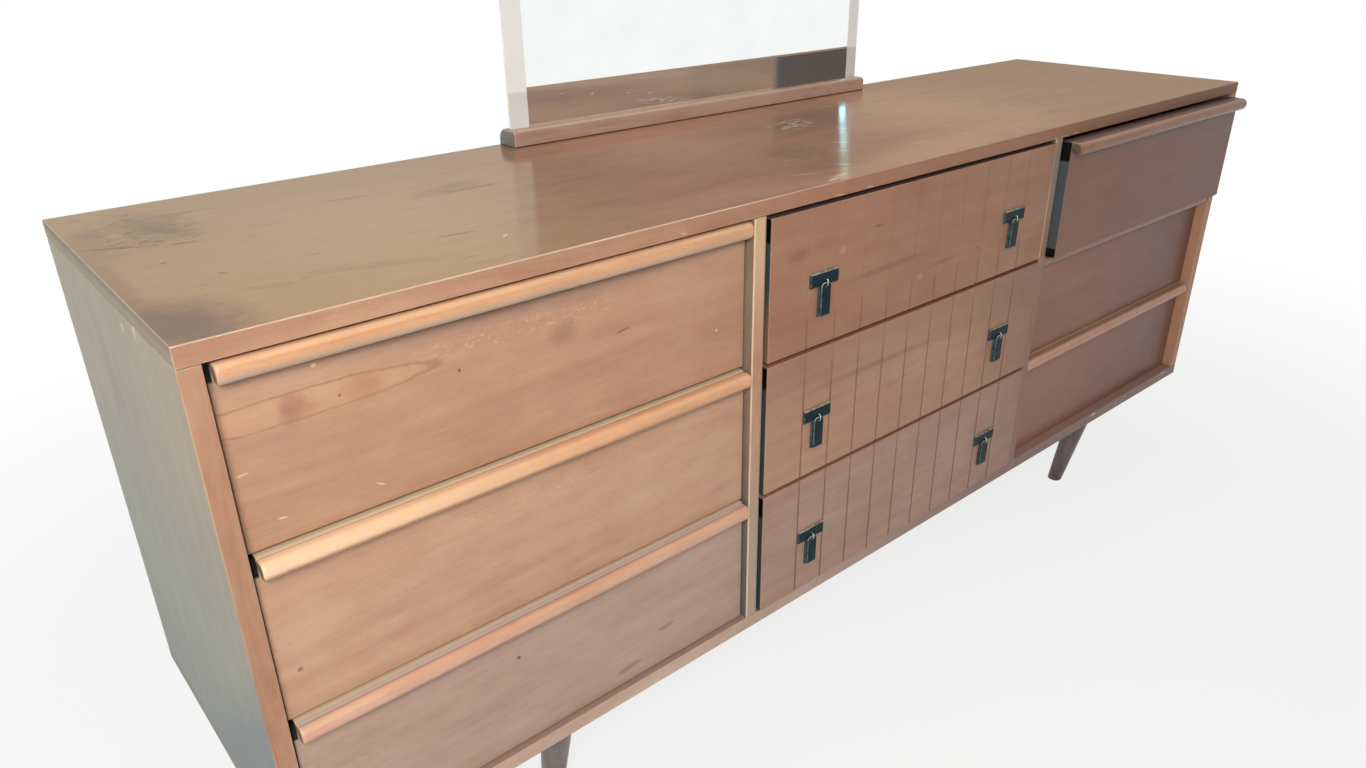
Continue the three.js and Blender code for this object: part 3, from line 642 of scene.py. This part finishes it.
def rail_finish():
    coat = Coat("rail_wood")
    coat.wood("X", RAIL_SHADES, (0.7, 0.2, 0.1))
    # Painted light on the faces that look up
    coat.tint((186, 158, 124), coat.fit(coat.faces[2], 0.45, 0.8), 0.7)
    # Grey-green ends, a painted cool reflection
    coat.tint((112, 110, 98), coat.ends())
    # Painted shadow along the rail's foot
    coat.tint((58, 40, 32), coat.fit(coat.z, 0.7394, 0.7386, 0, 0.85))
    return coat.lacquered(0.28, 0.3)


def leg_finish():
    coat = Coat("leg_wood")
    coat.wood("Z", LEG_SHADES, (0.4, 0.6, 0.2), 0.5)
    scuffs = coat.fit(coat.noise((0.01, 0.01, 0.02), 3), 0.4, 0.6, 0, 0.7)
    coat.tint((60, 54, 52), coat.fit(coat.z, 0.05, 0), scuffs)
    return coat.lacquered(0.35, 0.4)


def paint_finish(name, dark, light, left_highlight):
    """Blue-black paint on metal, with painted highlights in patches on the bevels that look left and up."""
    coat = Coat(name)
    mottle = coat.noise((0.005, 0.005, 0.005), 3)
    coat.colour = coat.ramp(mottle, [(0.35, srgb(*dark)), (0.65, srgb(*light))])
    patches = coat.fit(mottle, 0.35, 0.55, 0.4, 1)
    # Painted highlights on the bevels that look left and up
    coat.tint((120, 144, 146), coat.fit(coat.faces[0], -0.3, -0.6), patches, left_highlight)
    coat.tint((186, 182, 164), coat.fit(coat.faces[2], 0.3, 0.6), patches, 0.85)
    return coat.give({"Base Color": coat.colour, "Specular IOR Level": 0.1,
                      "Roughness": coat.fit(mottle, 0.3, 0.7, 0.28, 0.4)})


def bright_finish(name, dark, light, roughness):
    coat = Coat(name)
    brush = coat.noise((0.01, 0.0006, 0.0006), 2)
    return coat.give({"Base Color": coat.ramp(brush, [(0.3, srgb(*dark)), (0.7, srgb(*light))]), "Metallic": 1.0,
                      "Roughness": coat.fit(brush, 0.3, 0.7, roughness, roughness + 0.14)})


def mirror_finish():
    """Silvered glass, its ground bevel painted pale as a bright reflection,
    and a painted dark reflection low at the right.
    """
    coat = Coat("silvered_glass")
    haze = coat.noise((0.05, 0.05, 0.05), 3)
    coat.colour = coat.ramp(haze, [(0.3, (0.90, 0.93, 0.91, 1)), (0.7, (0.94, 0.96, 0.95, 1))])
    # Painted reflections below the line where the glass reflects the top: grey-blue right of the middle, dark at the
    # low right
    low_down = coat.slope((0, 0, -1), -0.8095, -0.8085)
    corner = coat.product(coat.slope((1, 0, 0), 0.138, 0.162), low_down)
    beside = coat.product(coat.slope((1, 0, 0), -0.05, -0.01), low_down, 0.28)
    coat.over(beside, (0.45, 0.52, 0.54, 1))
    # The bevel is less mirror-like and painted pale, a painted bright reflection
    bevel = coat.fit(coat.faces[1], -0.999, -0.995)
    dark_reflection = coat.product(corner, coat.sum("SUBTRACT", 1, bevel))
    coat.over(dark_reflection, (0.19, 0.195, 0.205, 1))
    unmirrored = coat.sum("ADD", coat.product(dark_reflection, 0.55), coat.product(bevel, 0.8))
    return coat.give({"Base Color": coat.colour, "Metallic": coat.sum("SUBTRACT", 0.965, unmirrored),
                      "Roughness": coat.fit(coat.faces[1], -0.999, -0.995, 0.012, 0.03)})


# Shapes

def placed(name, data):
    piece = bpy.data.objects.new(name, data)
    scene.collection.objects.link(piece)
    return piece


def grid(x, y, z):
    """Points from coordinates that spread over one another."""
    return np.stack(np.broadcast_arrays(x, y, z), axis=-1)


def full_turn(count):
    return np.linspace(0, 2 * pi, count, endpoint=False)


def ring_faces(count, around, loop=False):
    """Each point is joined to its neighbours in its ring and to the same point of the next ring. The end rings get
    flat caps, or with loop the last joins the first."""
    index = np.arange(count * around).reshape(count, around)
    first = index if loop else index[:-1]
    second = np.roll(index, -1, axis=0)[: len(first)]
    quads = np.stack([first, np.roll(first, -1, 1), np.roll(second, -1, 1), second], axis=-1)
    faces = quads.reshape(-1, 4).tolist()
    if not loop:
        faces += [index[0].tolist(), index[-1].tolist()]
    return faces


def closed_piece(name, points, faces, sharp):
    """A mesh with its doubles merged, its faces outward and its edges sharp past an angle in degrees."""
    mesh = bpy.data.meshes.new(name)
    mesh.from_pydata(points.reshape(-1, 3).tolist(), [], faces)
    shell = bmesh.new()
    shell.from_mesh(mesh)
    bmesh.ops.remove_doubles(shell, verts=shell.verts, dist=1e-6)
    bmesh.ops.dissolve_degenerate(shell, edges=shell.edges, dist=1e-7)
    bmesh.ops.recalc_face_normals(shell, faces=shell.faces)
    shell.to_mesh(mesh)
    shell.free()
    mesh.shade_smooth()
    mesh.set_sharp_from_angle(angle=radians(sharp))
    return placed(name, mesh)


def loft(name, rings, loop=False, sharp=35):
    """A closed mesh through an array of rings by points by XYZ."""
    return closed_piece(name, rings, ring_faces(rings.shape[0], rings.shape[1], loop), sharp)


def fitted(piece, material, body, slot, *nodes):
    piece.data.materials.append(material)
    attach(piece, body)
    if nodes:
        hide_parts(*nodes)
    return piece


def rounded_ends(x, low, high, radius):
    """How far a round end draws a section in: r minus the root of r squared less the square of what the section
    lies short of r from the nearer end."""
    short = np.clip(radius - np.minimum(x - low, high - x), 0, radius)
    return radius - np.sqrt(radius**2 - short**2)


def crowded(low, high, count, edge):
    """Stations from low to high, close together within the edge distance of each end."""
    near = edge * np.sin(np.linspace(0, pi / 2, 9)) ** 2
    return np.unique(np.concatenate([low + near, np.linspace(low + edge, high - edge, count), high - near]))


LIP_HEIGHT, LIP_DEPTH = 19 * MM, 17 * MM
NOSE_RUN, COVE_RUN, COVE_RISE = 8 * MM, 8 * MM, 11 * MM


def lip_profile():
    """Y back from the nose and Z down from the top: a flat top, half an ellipse for the nose, and a quarter ellipse
    cut out behind its foot for the fingers."""
    nose = np.linspace(pi / 2, 3 * pi / 2, 25)
    cove = np.linspace(pi, pi / 2, 13)
    back = np.linspace(LIP_DEPTH, NOSE_RUN, 6)[:-1]
    y = np.concatenate([back, NOSE_RUN + NOSE_RUN * np.cos(nose), LIP_DEPTH + COVE_RUN * np.cos(cove)])
    nose_z = -LIP_HEIGHT / 2 + LIP_HEIGHT / 2 * np.sin(nose)
    z = np.concatenate([np.zeros(5), nose_z, -LIP_HEIGHT + COVE_RISE * np.sin(cove)])
    return np.stack([y, z], axis=-1)


def finger_lip(column, row, material):
    """The lip's profile carried along X. Its ends are rounded, and slow waves and a few shallow dents wear its nose.
    The left column's lips stop short at the left."""
    node = f"{column}_{row}_lip_pull"
    low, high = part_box(node)
    profile = lip_profile()
    left, right = low[0] + (3.2 * MM if column == "left" else 0.0), high[0]
    x = crowded(left, right, 140, 4 * MM)
    drawn = rounded_ends(x, left, right, 3 * MM)[:, None]
    wave = 0.12 * MM * (np.sin(41 * x + 1.3 * ROWS.index(row)) + np.sin(97 * x + 1.7))[:, None]
    share = ((x - left) / (right - left))[:, None]
    dents = 0.5 * MM * np.exp(-((share - np.array([0.04, 0.37, 0.71])) * 90) ** 2).sum(axis=1, keepdims=True)
    ahead = 1 - profile[:, 0] / LIP_DEPTH
    y = low[1] + profile[:, 0] + ahead * (drawn + np.maximum(wave, 0) + dents)
    middle = -LIP_HEIGHT / 2
    z = high[2] + middle + (profile[:, 1] - middle) * (1 - drawn / (LIP_HEIGHT / 2))
    lip = loft(f"{column}_{row}_lip", grid(x[:, None], y, z))
    return fitted(lip, material, f"{column}_{row}_drawer", "lip_wood", node)


CASE_FRONT = -221.65 * MM
CASE_BACK = CASE_FRONT + 455 * MM
LEG_X = 599.5 * MM
FOOT_IN, TOP_IN = 60 * MM, 32 * MM


def tapered_leg(node, material):
    """Level ellipses up a leaning axis: the radius grows evenly from foot to top, the foot's edge is eased, and Y is
    widened by the lean, as a level cut through a round leg is."""
    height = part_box(node)[1][2]
    edge, inward = (CASE_FRONT, 1) if "front" in node else (CASE_BACK, -1)
    side = -1 if "left" in node else 1
    z = np.concatenate([np.array([0, 0.3, 0.9, 2]) * MM, np.linspace(8 * MM, height, 14)])
    radius = 12.5 * MM + 7.5 * MM * z / height
    radius[:4] -= np.array([1.6, 0.9, 0.3, 0.0]) * MM
    widen = hypot(1, (FOOT_IN - TOP_IN) / height)
    turn = full_turn(64)
    axis = edge + inward * (FOOT_IN + (TOP_IN - FOOT_IN) * z / height)
    x = side * LEG_X + radius[:, None] * np.cos(turn)
    y = axis[:, None] + widen * radius[:, None] * np.sin(turn)
    leg = loft(node.replace("leg_", "tapered_leg_"), grid(x, y, z[:, None]))
    return fitted(leg, material, "case", "leg_wood", node)


BAR_WIDTH, BAR_HEIGHT, STEM_WIDTH, PULL_HEIGHT = 50 * MM, 18 * MM, 20 * MM, 57 * MM
PLATE_THICKNESS = 3 * MM
TAB_WIDTH, TAB_THICKNESS, TAB_SHOULDER = 17 * MM, 2.2 * MM, 4 * MM
SLOT_HALF_WIDTH, SLOT_HALF_HEIGHT, SLOT_BELOW_TOP = 1.8 * MM, 1.4 * MM, 4 * MM
HINGE_BELOW_TOP = 1.3 * MM
WIRE = 0.6 * MM
STAPLE_BEND, STAPLE_RISE = 2.75 * MM, 5.6 * MM


def tee_ring(inset, y):
    """The T's eight corners, all drawn in by the same inset."""
    bar, top, stem = BAR_WIDTH / 2 - inset, BAR_HEIGHT / 2 - inset, STEM_WIDTH / 2 - inset
    foot = BAR_HEIGHT / 2 - PULL_HEIGHT + inset
    half = [(-bar, top), (-bar, -top), (-stem, -top), (-stem, foot)]
    corners = half + [(-x, z) for x, z in half[::-1]]
    return [(x, y, z) for x, z in corners]


def pull_plate(name, body, node, material):
    """Three T-shaped rings, the last drawn in for the bevel, with their edges softened."""
    low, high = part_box(node)
    centre = np.array([(low[0] + high[0]) / 2, high[1], high[2] - BAR_HEIGHT / 2])
    rings = np.array([tee_ring(0, 0), tee_ring(0, -1.6 * MM), tee_ring(1.5 * MM, -PLATE_THICKNESS)])
    plate = loft(name, centre + rings, sharp=20)
    bevel = plate.modifiers.new("soft_edges", "BEVEL")
    bevel.width = 0.25 * MM
    bevel.segments = 2
    bevel.limit_method = "ANGLE"
    bevel.angle_limit = radians(25)
    return fitted(plate, material, body, "black_metal", node)


def point_in(node, below_top):
    low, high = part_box(node)
    return np.array([(low[0] + high[0]) / 2, (low[1] + high[1]) / 2, high[2] - below_top])


def polygon_reach(angles, sides):
    """How far a convex outline lies along each angle: the least of offset over cosine for the sides it faces."""
    facing = np.cos(angles[:, None] - sides[:, 0])
    return np.where(facing > 1e-6, sides[:, 1] / np.maximum(facing, 1e-6), np.inf).min(axis=1)


def hanging_tab(name, body, node, material):
    """A plate with a slot: rings of an outer outline and a slot outline, each at its distance along the same angles
    from the slot's middle, joined round through the slot."""
    middle = point_in(node, SLOT_BELOW_TOP)
    half, up, down = TAB_WIDTH / 2, SLOT_BELOW_TOP, middle[2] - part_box(node)[0][2]
    slanted = (half + up - TAB_SHOULDER) * sqrt(0.5)
    quarter = pi / 2
    outer = np.array([(0, half), (quarter / 2, slanted), (quarter, up), (1.5 * quarter, slanted), (2 * quarter, half),
                      (3 * quarter, down)])
    slot = np.array([(0, SLOT_HALF_WIDTH), (quarter, SLOT_HALF_HEIGHT), (2 * quarter, SLOT_HALF_WIDTH),
                     (3 * quarter, SLOT_HALF_HEIGHT)])
    right = np.array([(half, -down), (half, up - TAB_SHOULDER), (half - TAB_SHOULDER, up)])
    corners = np.concatenate([right, right * (-1, 1)])
    spread = np.linspace(-pi, pi, 48, endpoint=False)
    angles = np.unique(np.concatenate([spread, np.arctan2(corners[:, 1], corners[:, 0])]))
    back, front = TAB_THICKNESS / 2, -TAB_THICKNESS / 2
    steps = [(outer, 0.35, back), (outer, 0, back - 0.35 * MM), (outer, 0, front + 0.7 * MM), (outer, 0.9, front),
             (slot, -0.3, front), (slot, 0, front + 0.4 * MM), (slot, 0, back)]
    reaches = np.array([polygon_reach(angles, sides - (0, inset * MM)) for sides, inset, _ in steps])
    level = np.array([y for _, _, y in steps])[:, None]
    rings = middle + grid(reaches * np.cos(angles), level, reaches * np.sin(angles))
    return fitted(loft(name, rings, loop=True, sharp=20), material, body, "black_metal", node)


def staple(name, body, plate, tab, material):
    """Round wire: a leg out of the plate, a quarter ellipse down to the front, a quarter circle about the hinge, and
    a leg back through the tab's slot into the plate."""
    plate_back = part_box(plate)[1][1]
    hinge = point_in(tab, HINGE_BELOW_TOP)
    root = plate_back - 1.5 * MM - hinge[1]
    swing = np.linspace(pi / 2, 3 * pi / 2, 17)
    tall = np.where(np.sin(swing) > 0, STAPLE_RISE, STAPLE_BEND)
    arc = np.stack([STAPLE_BEND * np.cos(swing), tall * np.sin(swing)], axis=-1)
    path = np.concatenate([[(root, STAPLE_RISE)], arc, [(root, -STAPLE_BEND)]])
    turn = np.arctan2(tall * np.cos(swing), -STAPLE_BEND * np.sin(swing))
    heading = np.concatenate([[pi], turn, [0.0]])[:, None]
    around = full_turn(12)
    y = path[:, :1] - np.sin(heading) * WIRE * np.sin(around)
    z = path[:, 1:] + np.cos(heading) * WIRE * np.sin(around)
    return fitted(loft(name, hinge + grid(WIRE * np.cos(around), y, z)), material, body, "steel")


def mirror_rail(material):
    """A section with round upper edges carried along X. Its groove is cut only where the glass stands, and both
    ends are rounded, the right one more."""
    low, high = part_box("mirror_rail")
    glass_low, glass_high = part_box("mirror_glass")
    groove = [glass_low[1] - 0.3 * MM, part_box("mirror_backboard")[1][1] + 0.3 * MM]
    floor = glass_low[2] - 0.3 * MM
    arc = np.linspace(0, pi / 2, 8)
    front_y, front_z = low[1] + 4 * MM * (1 - np.cos(arc)), high[2] - 4 * MM * (1 - np.sin(arc))
    back_y, back_z = high[1] - 9.4 * MM * (1 - np.sin(arc)), high[2] - 13 * MM * (1 - np.cos(arc))
    foot_y, foot_z = [high[1], low[1] + MM, low[1]], [low[2], low[2], low[2] + MM]
    y = np.concatenate([foot_y, front_y, np.repeat(groove, 2), back_y])
    z = np.concatenate([foot_z, front_z, [high[2]] * 4, back_z])
    gate = np.array([glass_low[0] - 0.3 * MM, glass_high[0] + 0.3 * MM])
    stations = [crowded(low[0], high[0], 60, 10 * MM), gate, gate + np.array([-0.01, 0.01]) * MM]
    x = np.unique(np.concatenate(stations))[:, None]
    cut = np.where((x >= gate[0]) & (x <= gate[1]), high[2] - floor, 0)
    before = len(foot_y) + len(front_y) + 1
    lowered = np.repeat([0, 1, 0], [before, 2, len(y) - before - 2])
    beyond = high[0] + 1
    drawn = rounded_ends(x, low[0], beyond, 3 * MM) + rounded_ends(x, -beyond, high[0], 9 * MM)
    height, depth = high[2] - low[2], high[1] - low[1]
    z = low[2] + (z - lowered * cut - low[2]) * (1 - drawn / height)
    y = y + drawn / 2 * (1 - (y - low[1]) / depth)
    return fitted(loft("grooved_mirror_rail", grid(x, y, z)), material, "case", "case_wood", "mirror_rail")


NAIL_RADIUS, NAIL_RISE, NAIL_INSET = 3.4 * MM, 0.9 * MM, 8 * MM


def back_panel_nails(material):
    """Domed nail heads round the back panel, all one mesh. A dome's radius falls as the cosine, and its rise grows
    as the sine, of an even sweep."""
    low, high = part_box("back_panel")
    xs = np.linspace(low[0] + NAIL_INSET, high[0] - NAIL_INSET, 13)
    zs = np.linspace(low[2] + NAIL_INSET, high[2] - NAIL_INSET, 6)[1:-1]
    places = [(x, high[1], z) for z in (low[2] + NAIL_INSET, high[2] - NAIL_INSET) for x in xs]
    places += [(x, high[1], z) for x in (xs[0], xs[-1]) for z in zs]
    sweep = np.linspace(0, 0.85 * pi / 2, 5)[:, None]
    turn = full_turn(16)
    radius, rise = NAIL_RADIUS * np.cos(sweep), NAIL_RISE * np.sin(sweep)
    dome = grid(radius * np.cos(turn), rise, radius * np.sin(turn))
    points = np.array(places)[:, None, None] + dome
    rings, around = dome.shape[:2]
    firsts = range(0, points.size // 3, rings * around)
    faces = [[first + corner for corner in face] for first in firsts for face in ring_faces(rings, around)]
    return fitted(closed_piece("back_panel_nails", points, faces, 50), material, "case", "steel")


def wear_finish(node, material):
    """Gives a CAD node its material, in every slot it has."""
    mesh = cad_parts[node].data
    if not mesh.materials:
        mesh.materials.append(material)
    for index in range(len(mesh.materials)):
        mesh.materials[index] = material


def dress_case():
    leg, rail = leg_finish(), rail_finish()
    hardboard = plain_finish("hardboard", "X", HARDBOARD_SHADES, (0.6, 0.6, 0.1), 0.6, 0.2)
    finishes = {
        "case_top": top_finish(), "side_panel": side_finish(), "case_bottom": bottom_finish(),
        "divider_left": divider_finish("divider_left", 0), "divider_right": divider_finish("divider_right", 1),
        "dust_frame": plain_finish("bare_wood", "X", HIDDEN_SHADES, (0.9, 0.1, 0.6), 0.7, 0.15),
        "mirror_support": plain_finish("bare_upright", "Z", HIDDEN_SHADES, (0.2, 0.7, 0.5), 0.7, 0.15),
        "leg_": leg, "mirror_rail": rail, "back_panel": hardboard, "mirror_backboard": hardboard,
        "mirror_glass": mirror_finish(),
        "mirror_clip": bright_finish("plated_steel", (150, 152, 154), (190, 192, 194), 0.28),
    }
    for name in list(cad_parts):
        for start, material in finishes.items():
            if name.startswith(start):
                wear_finish(name, material)
        if name.startswith("leg_"):
            tapered_leg(name, leg)
    mirror_rail(rail)
    back_panel_nails(bright_finish("nail_heads", (92, 88, 84), (128, 122, 116), 0.35))


def dress_drawers():
    box = plain_finish("drawer_wood", "Y", BOX_SHADES, (0.3, 0.3, 0.8), 0.6)
    paint = paint_finish("pull_paint", (4, 30, 36), (14, 46, 54), 0.3)
    tab_paint = paint_finish("tab_paint", (4, 26, 36), (14, 42, 54), 0.55)
    wire = bright_finish("staple_wire", (176, 192, 196), (214, 228, 232), 0.2)
    names = [(column, row) for column in ("left", "centre", "right") for row in ROWS]
    for index, (column, row) in enumerate(names, start=1):
        name = f"{column}_{row}"
        wear_finish(f"{name}_drawer_front", front_finish(column, row, index))
        wear_finish(f"{name}_drawer_box", box)
        if column != "centre":
            lip = lip_finish(column, row)
            wear_finish(f"{name}_lip_pull", lip)
            finger_lip(column, row, lip)
            continue
        for prefix in (f"{name}_left", f"{name}_right"):
            plate, drop = f"{prefix}_pull_plate", f"{prefix}_pull_drop"
            wear_finish(plate, paint)
            wear_finish(drop, tab_paint)
            pull_plate(f"{prefix}_tee", f"{name}_drawer", plate, paint)
            staple(f"{prefix}_staple", f"{name}_drawer", plate, drop, wire)
            hanging_tab(f"{prefix}_tab", f"{prefix}_drop", drop, tab_paint)


# Stage

def white_world(ambient):
    world = bpy.data.worlds.new("studio")
    scene.world = world
    world.use_nodes = True
    tree = Nodes(world.node_tree)
    background = tree.nodes["Background"].inputs
    background["Color"].default_value = (1, 1, 1, 1)
    inputs = {"Value": tree.seen_directly(), "To Min": ambient, "To Max": 1.0}
    tree.feed(background["Strength"], tree.add("MapRange", inputs).outputs[0])


def flat_sheet(name, coat, shader, corners):
    """A flat stage piece whose surface is a shader node of its coat."""
    coat.feed(coat.nodes["Material Output"].inputs["Surface"], shader.outputs[0])
    mesh = bpy.data.meshes.new(name)
    mesh.from_pydata(corners, [], [(0, 1, 2, 3)])
    mesh.materials.append(coat.material)
    sheet = placed(name, mesh)
    return sheet


def pale_floor():
    """White round about, and near the dresser a pale matt floor that takes its soft shadow."""
    coat = Coat("pale_floor")
    coat.give({"Base Color": (0.8, 0.8, 0.79, 1), "Roughness": 0.9, "Specular IOR Level": 0.0})
    glow = coat.add("Emission", {"Color": (1, 1, 1, 1), "Strength": 1.0})
    distance = coat.length(coat.moved(coat.place, scale=(1.9, 1.5, 1), kind="TEXTURE"))
    share = coat.product(coat.fit(distance, 0.5, 1.3, 0.8, 1), coat.seen_directly())
    blend = coat.add("MixShader", {0: share, 1: coat.shader.outputs[0], 2: glow.outputs[0]})
    half = 15.0
    flat_sheet("floor", coat, blend, [(-half, -half, 0), (half, -half, 0), (half, half, 0), (-half, half, 0)])


def reflected_card(coat, corners, colour, strength=1.0, clear_back=False):
    """A card that only reflections see, as a glossy top sees the walls and window of a room."""
    glow = coat.add("Emission", {"Color": colour, "Strength": strength})
    if clear_back:
        behind = coat.add("NewGeometry").outputs["Backfacing"]
        clear = coat.add("BsdfTransparent")
        glow = coat.add("MixShader", {0: behind, 1: glow.outputs[0], 2: clear.outputs[0]})
    card = flat_sheet(coat.material.name, coat, glow, corners)
    card.visible_camera = card.visible_diffuse = card.visible_shadow = False


def room_card(name, start, end, bottom, top, colour):
    corners = [(*start, bottom), (*end, bottom), (*end, top), (*start, top)]
    reflected_card(Coat(name), corners, colour)


def bevel_glint():
    """The strip of light that the mirror's bevel throws along the top. It leans to the right going up, turns from
    cyan to straw, fades, and is broken into short bands."""
    coat = Coat("bevel_glint")
    foot, head, left, wide, lean = 0.765, 0.93, 0.3152, 0.016, 0.162
    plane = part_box("mirror_glass")[0][1] - 0.05 * MM
    shift = lean * (head - foot)
    corners = [(left, plane, foot), (left + wide, plane, foot), (left + wide + shift, plane, head),
               (left + shift, plane, head)]
    height = coat.fit(coat.z, foot, 0.9)
    colour = coat.ramp(height, [(0.0, (0.39, 0.83, 1, 1)), (0.5, (0.5, 0.86, 0.85, 1)),
                                (1.0, (0.76, 0.98, 0.74, 1))])
    bands = coat.fit(coat.noise((1, 1, 0.014), 3, 0.7), 0.4, 0.6, 0.35, 1.7)
    strength = coat.product(bands, coat.fit(height, 0.3, 0.9, 2.7, 1.35))
    reflected_card(coat, corners, colour, strength, clear_back=True)


def soft_lamp(name, place, target, size, watts, colour):
    light = bpy.data.lights.new(name, "AREA")
    light.shape = "DISK"
    light.size = size
    light.energy = watts
    light.color = colour
    away = (Vector(place) - Vector(target)).normalized()
    placed(name, light).matrix_world = Matrix.Translation(place) @ away.to_track_quat("Z", "Y").to_matrix().to_4x4()


def make_camera():
    """A camera that looks along Y with Z up, pitched down, turned by the yaw towards X, and rolled."""
    data = bpy.data.cameras.new("camera")
    data.sensor_width = 36.0
    data.lens = data.sensor_width * FOCAL_PIXELS / IMAGE_WIDTH
    data.clip_start = 0.02
    data.clip_end = 100
    camera = placed("camera", data)
    turns = ((-CAMERA_YAW, "Z"), (pi / 2 - CAMERA_PITCH, "X"), (-CAMERA_ROLL, "Z"))
    view = Matrix.Translation(CAMERA_PLACE)
    for angle, axis in turns:
        view = view @ Matrix.Rotation(angle, 4, axis)
    camera.matrix_world = view
    scene.camera = camera


dress_case()
dress_drawers()
make_camera()
white_world(0.26)
pale_floor()
bevel_glint()
room_card("room_card", (-3, -5), (7.2, -5), 1.25, 4.5, srgb(146, 130, 120))
room_card("far_wall", (3.2, 3.0), (7.0, -0.6), 0.5, 2.4, srgb(190, 172, 150))
room_card("back_wall", (-7.0, 5.0), (3.2, 5.0), 0.5, 4.5, (0.85, 0.765, 0.612, 1))
soft_lamp("key_lamp", (-1.45, -1.35, 1.5), (-0.4, 0.0, 0.45), 0.6, 24, (1.0, 0.97, 0.92))
soft_lamp("side_lamp", (-3.0, 0.5, 1.2), (-0.9, 0.0, 0.4), 1.4, 20, (0.84, 0.95, 1.0))
soft_lamp("overhead_lamp", (0.6, 0.1, 2.2), (0.5, 0.05, 0.7), 0.8, 8, (1.0, 0.95, 0.88))

scene.view_settings.view_transform = "Standard"
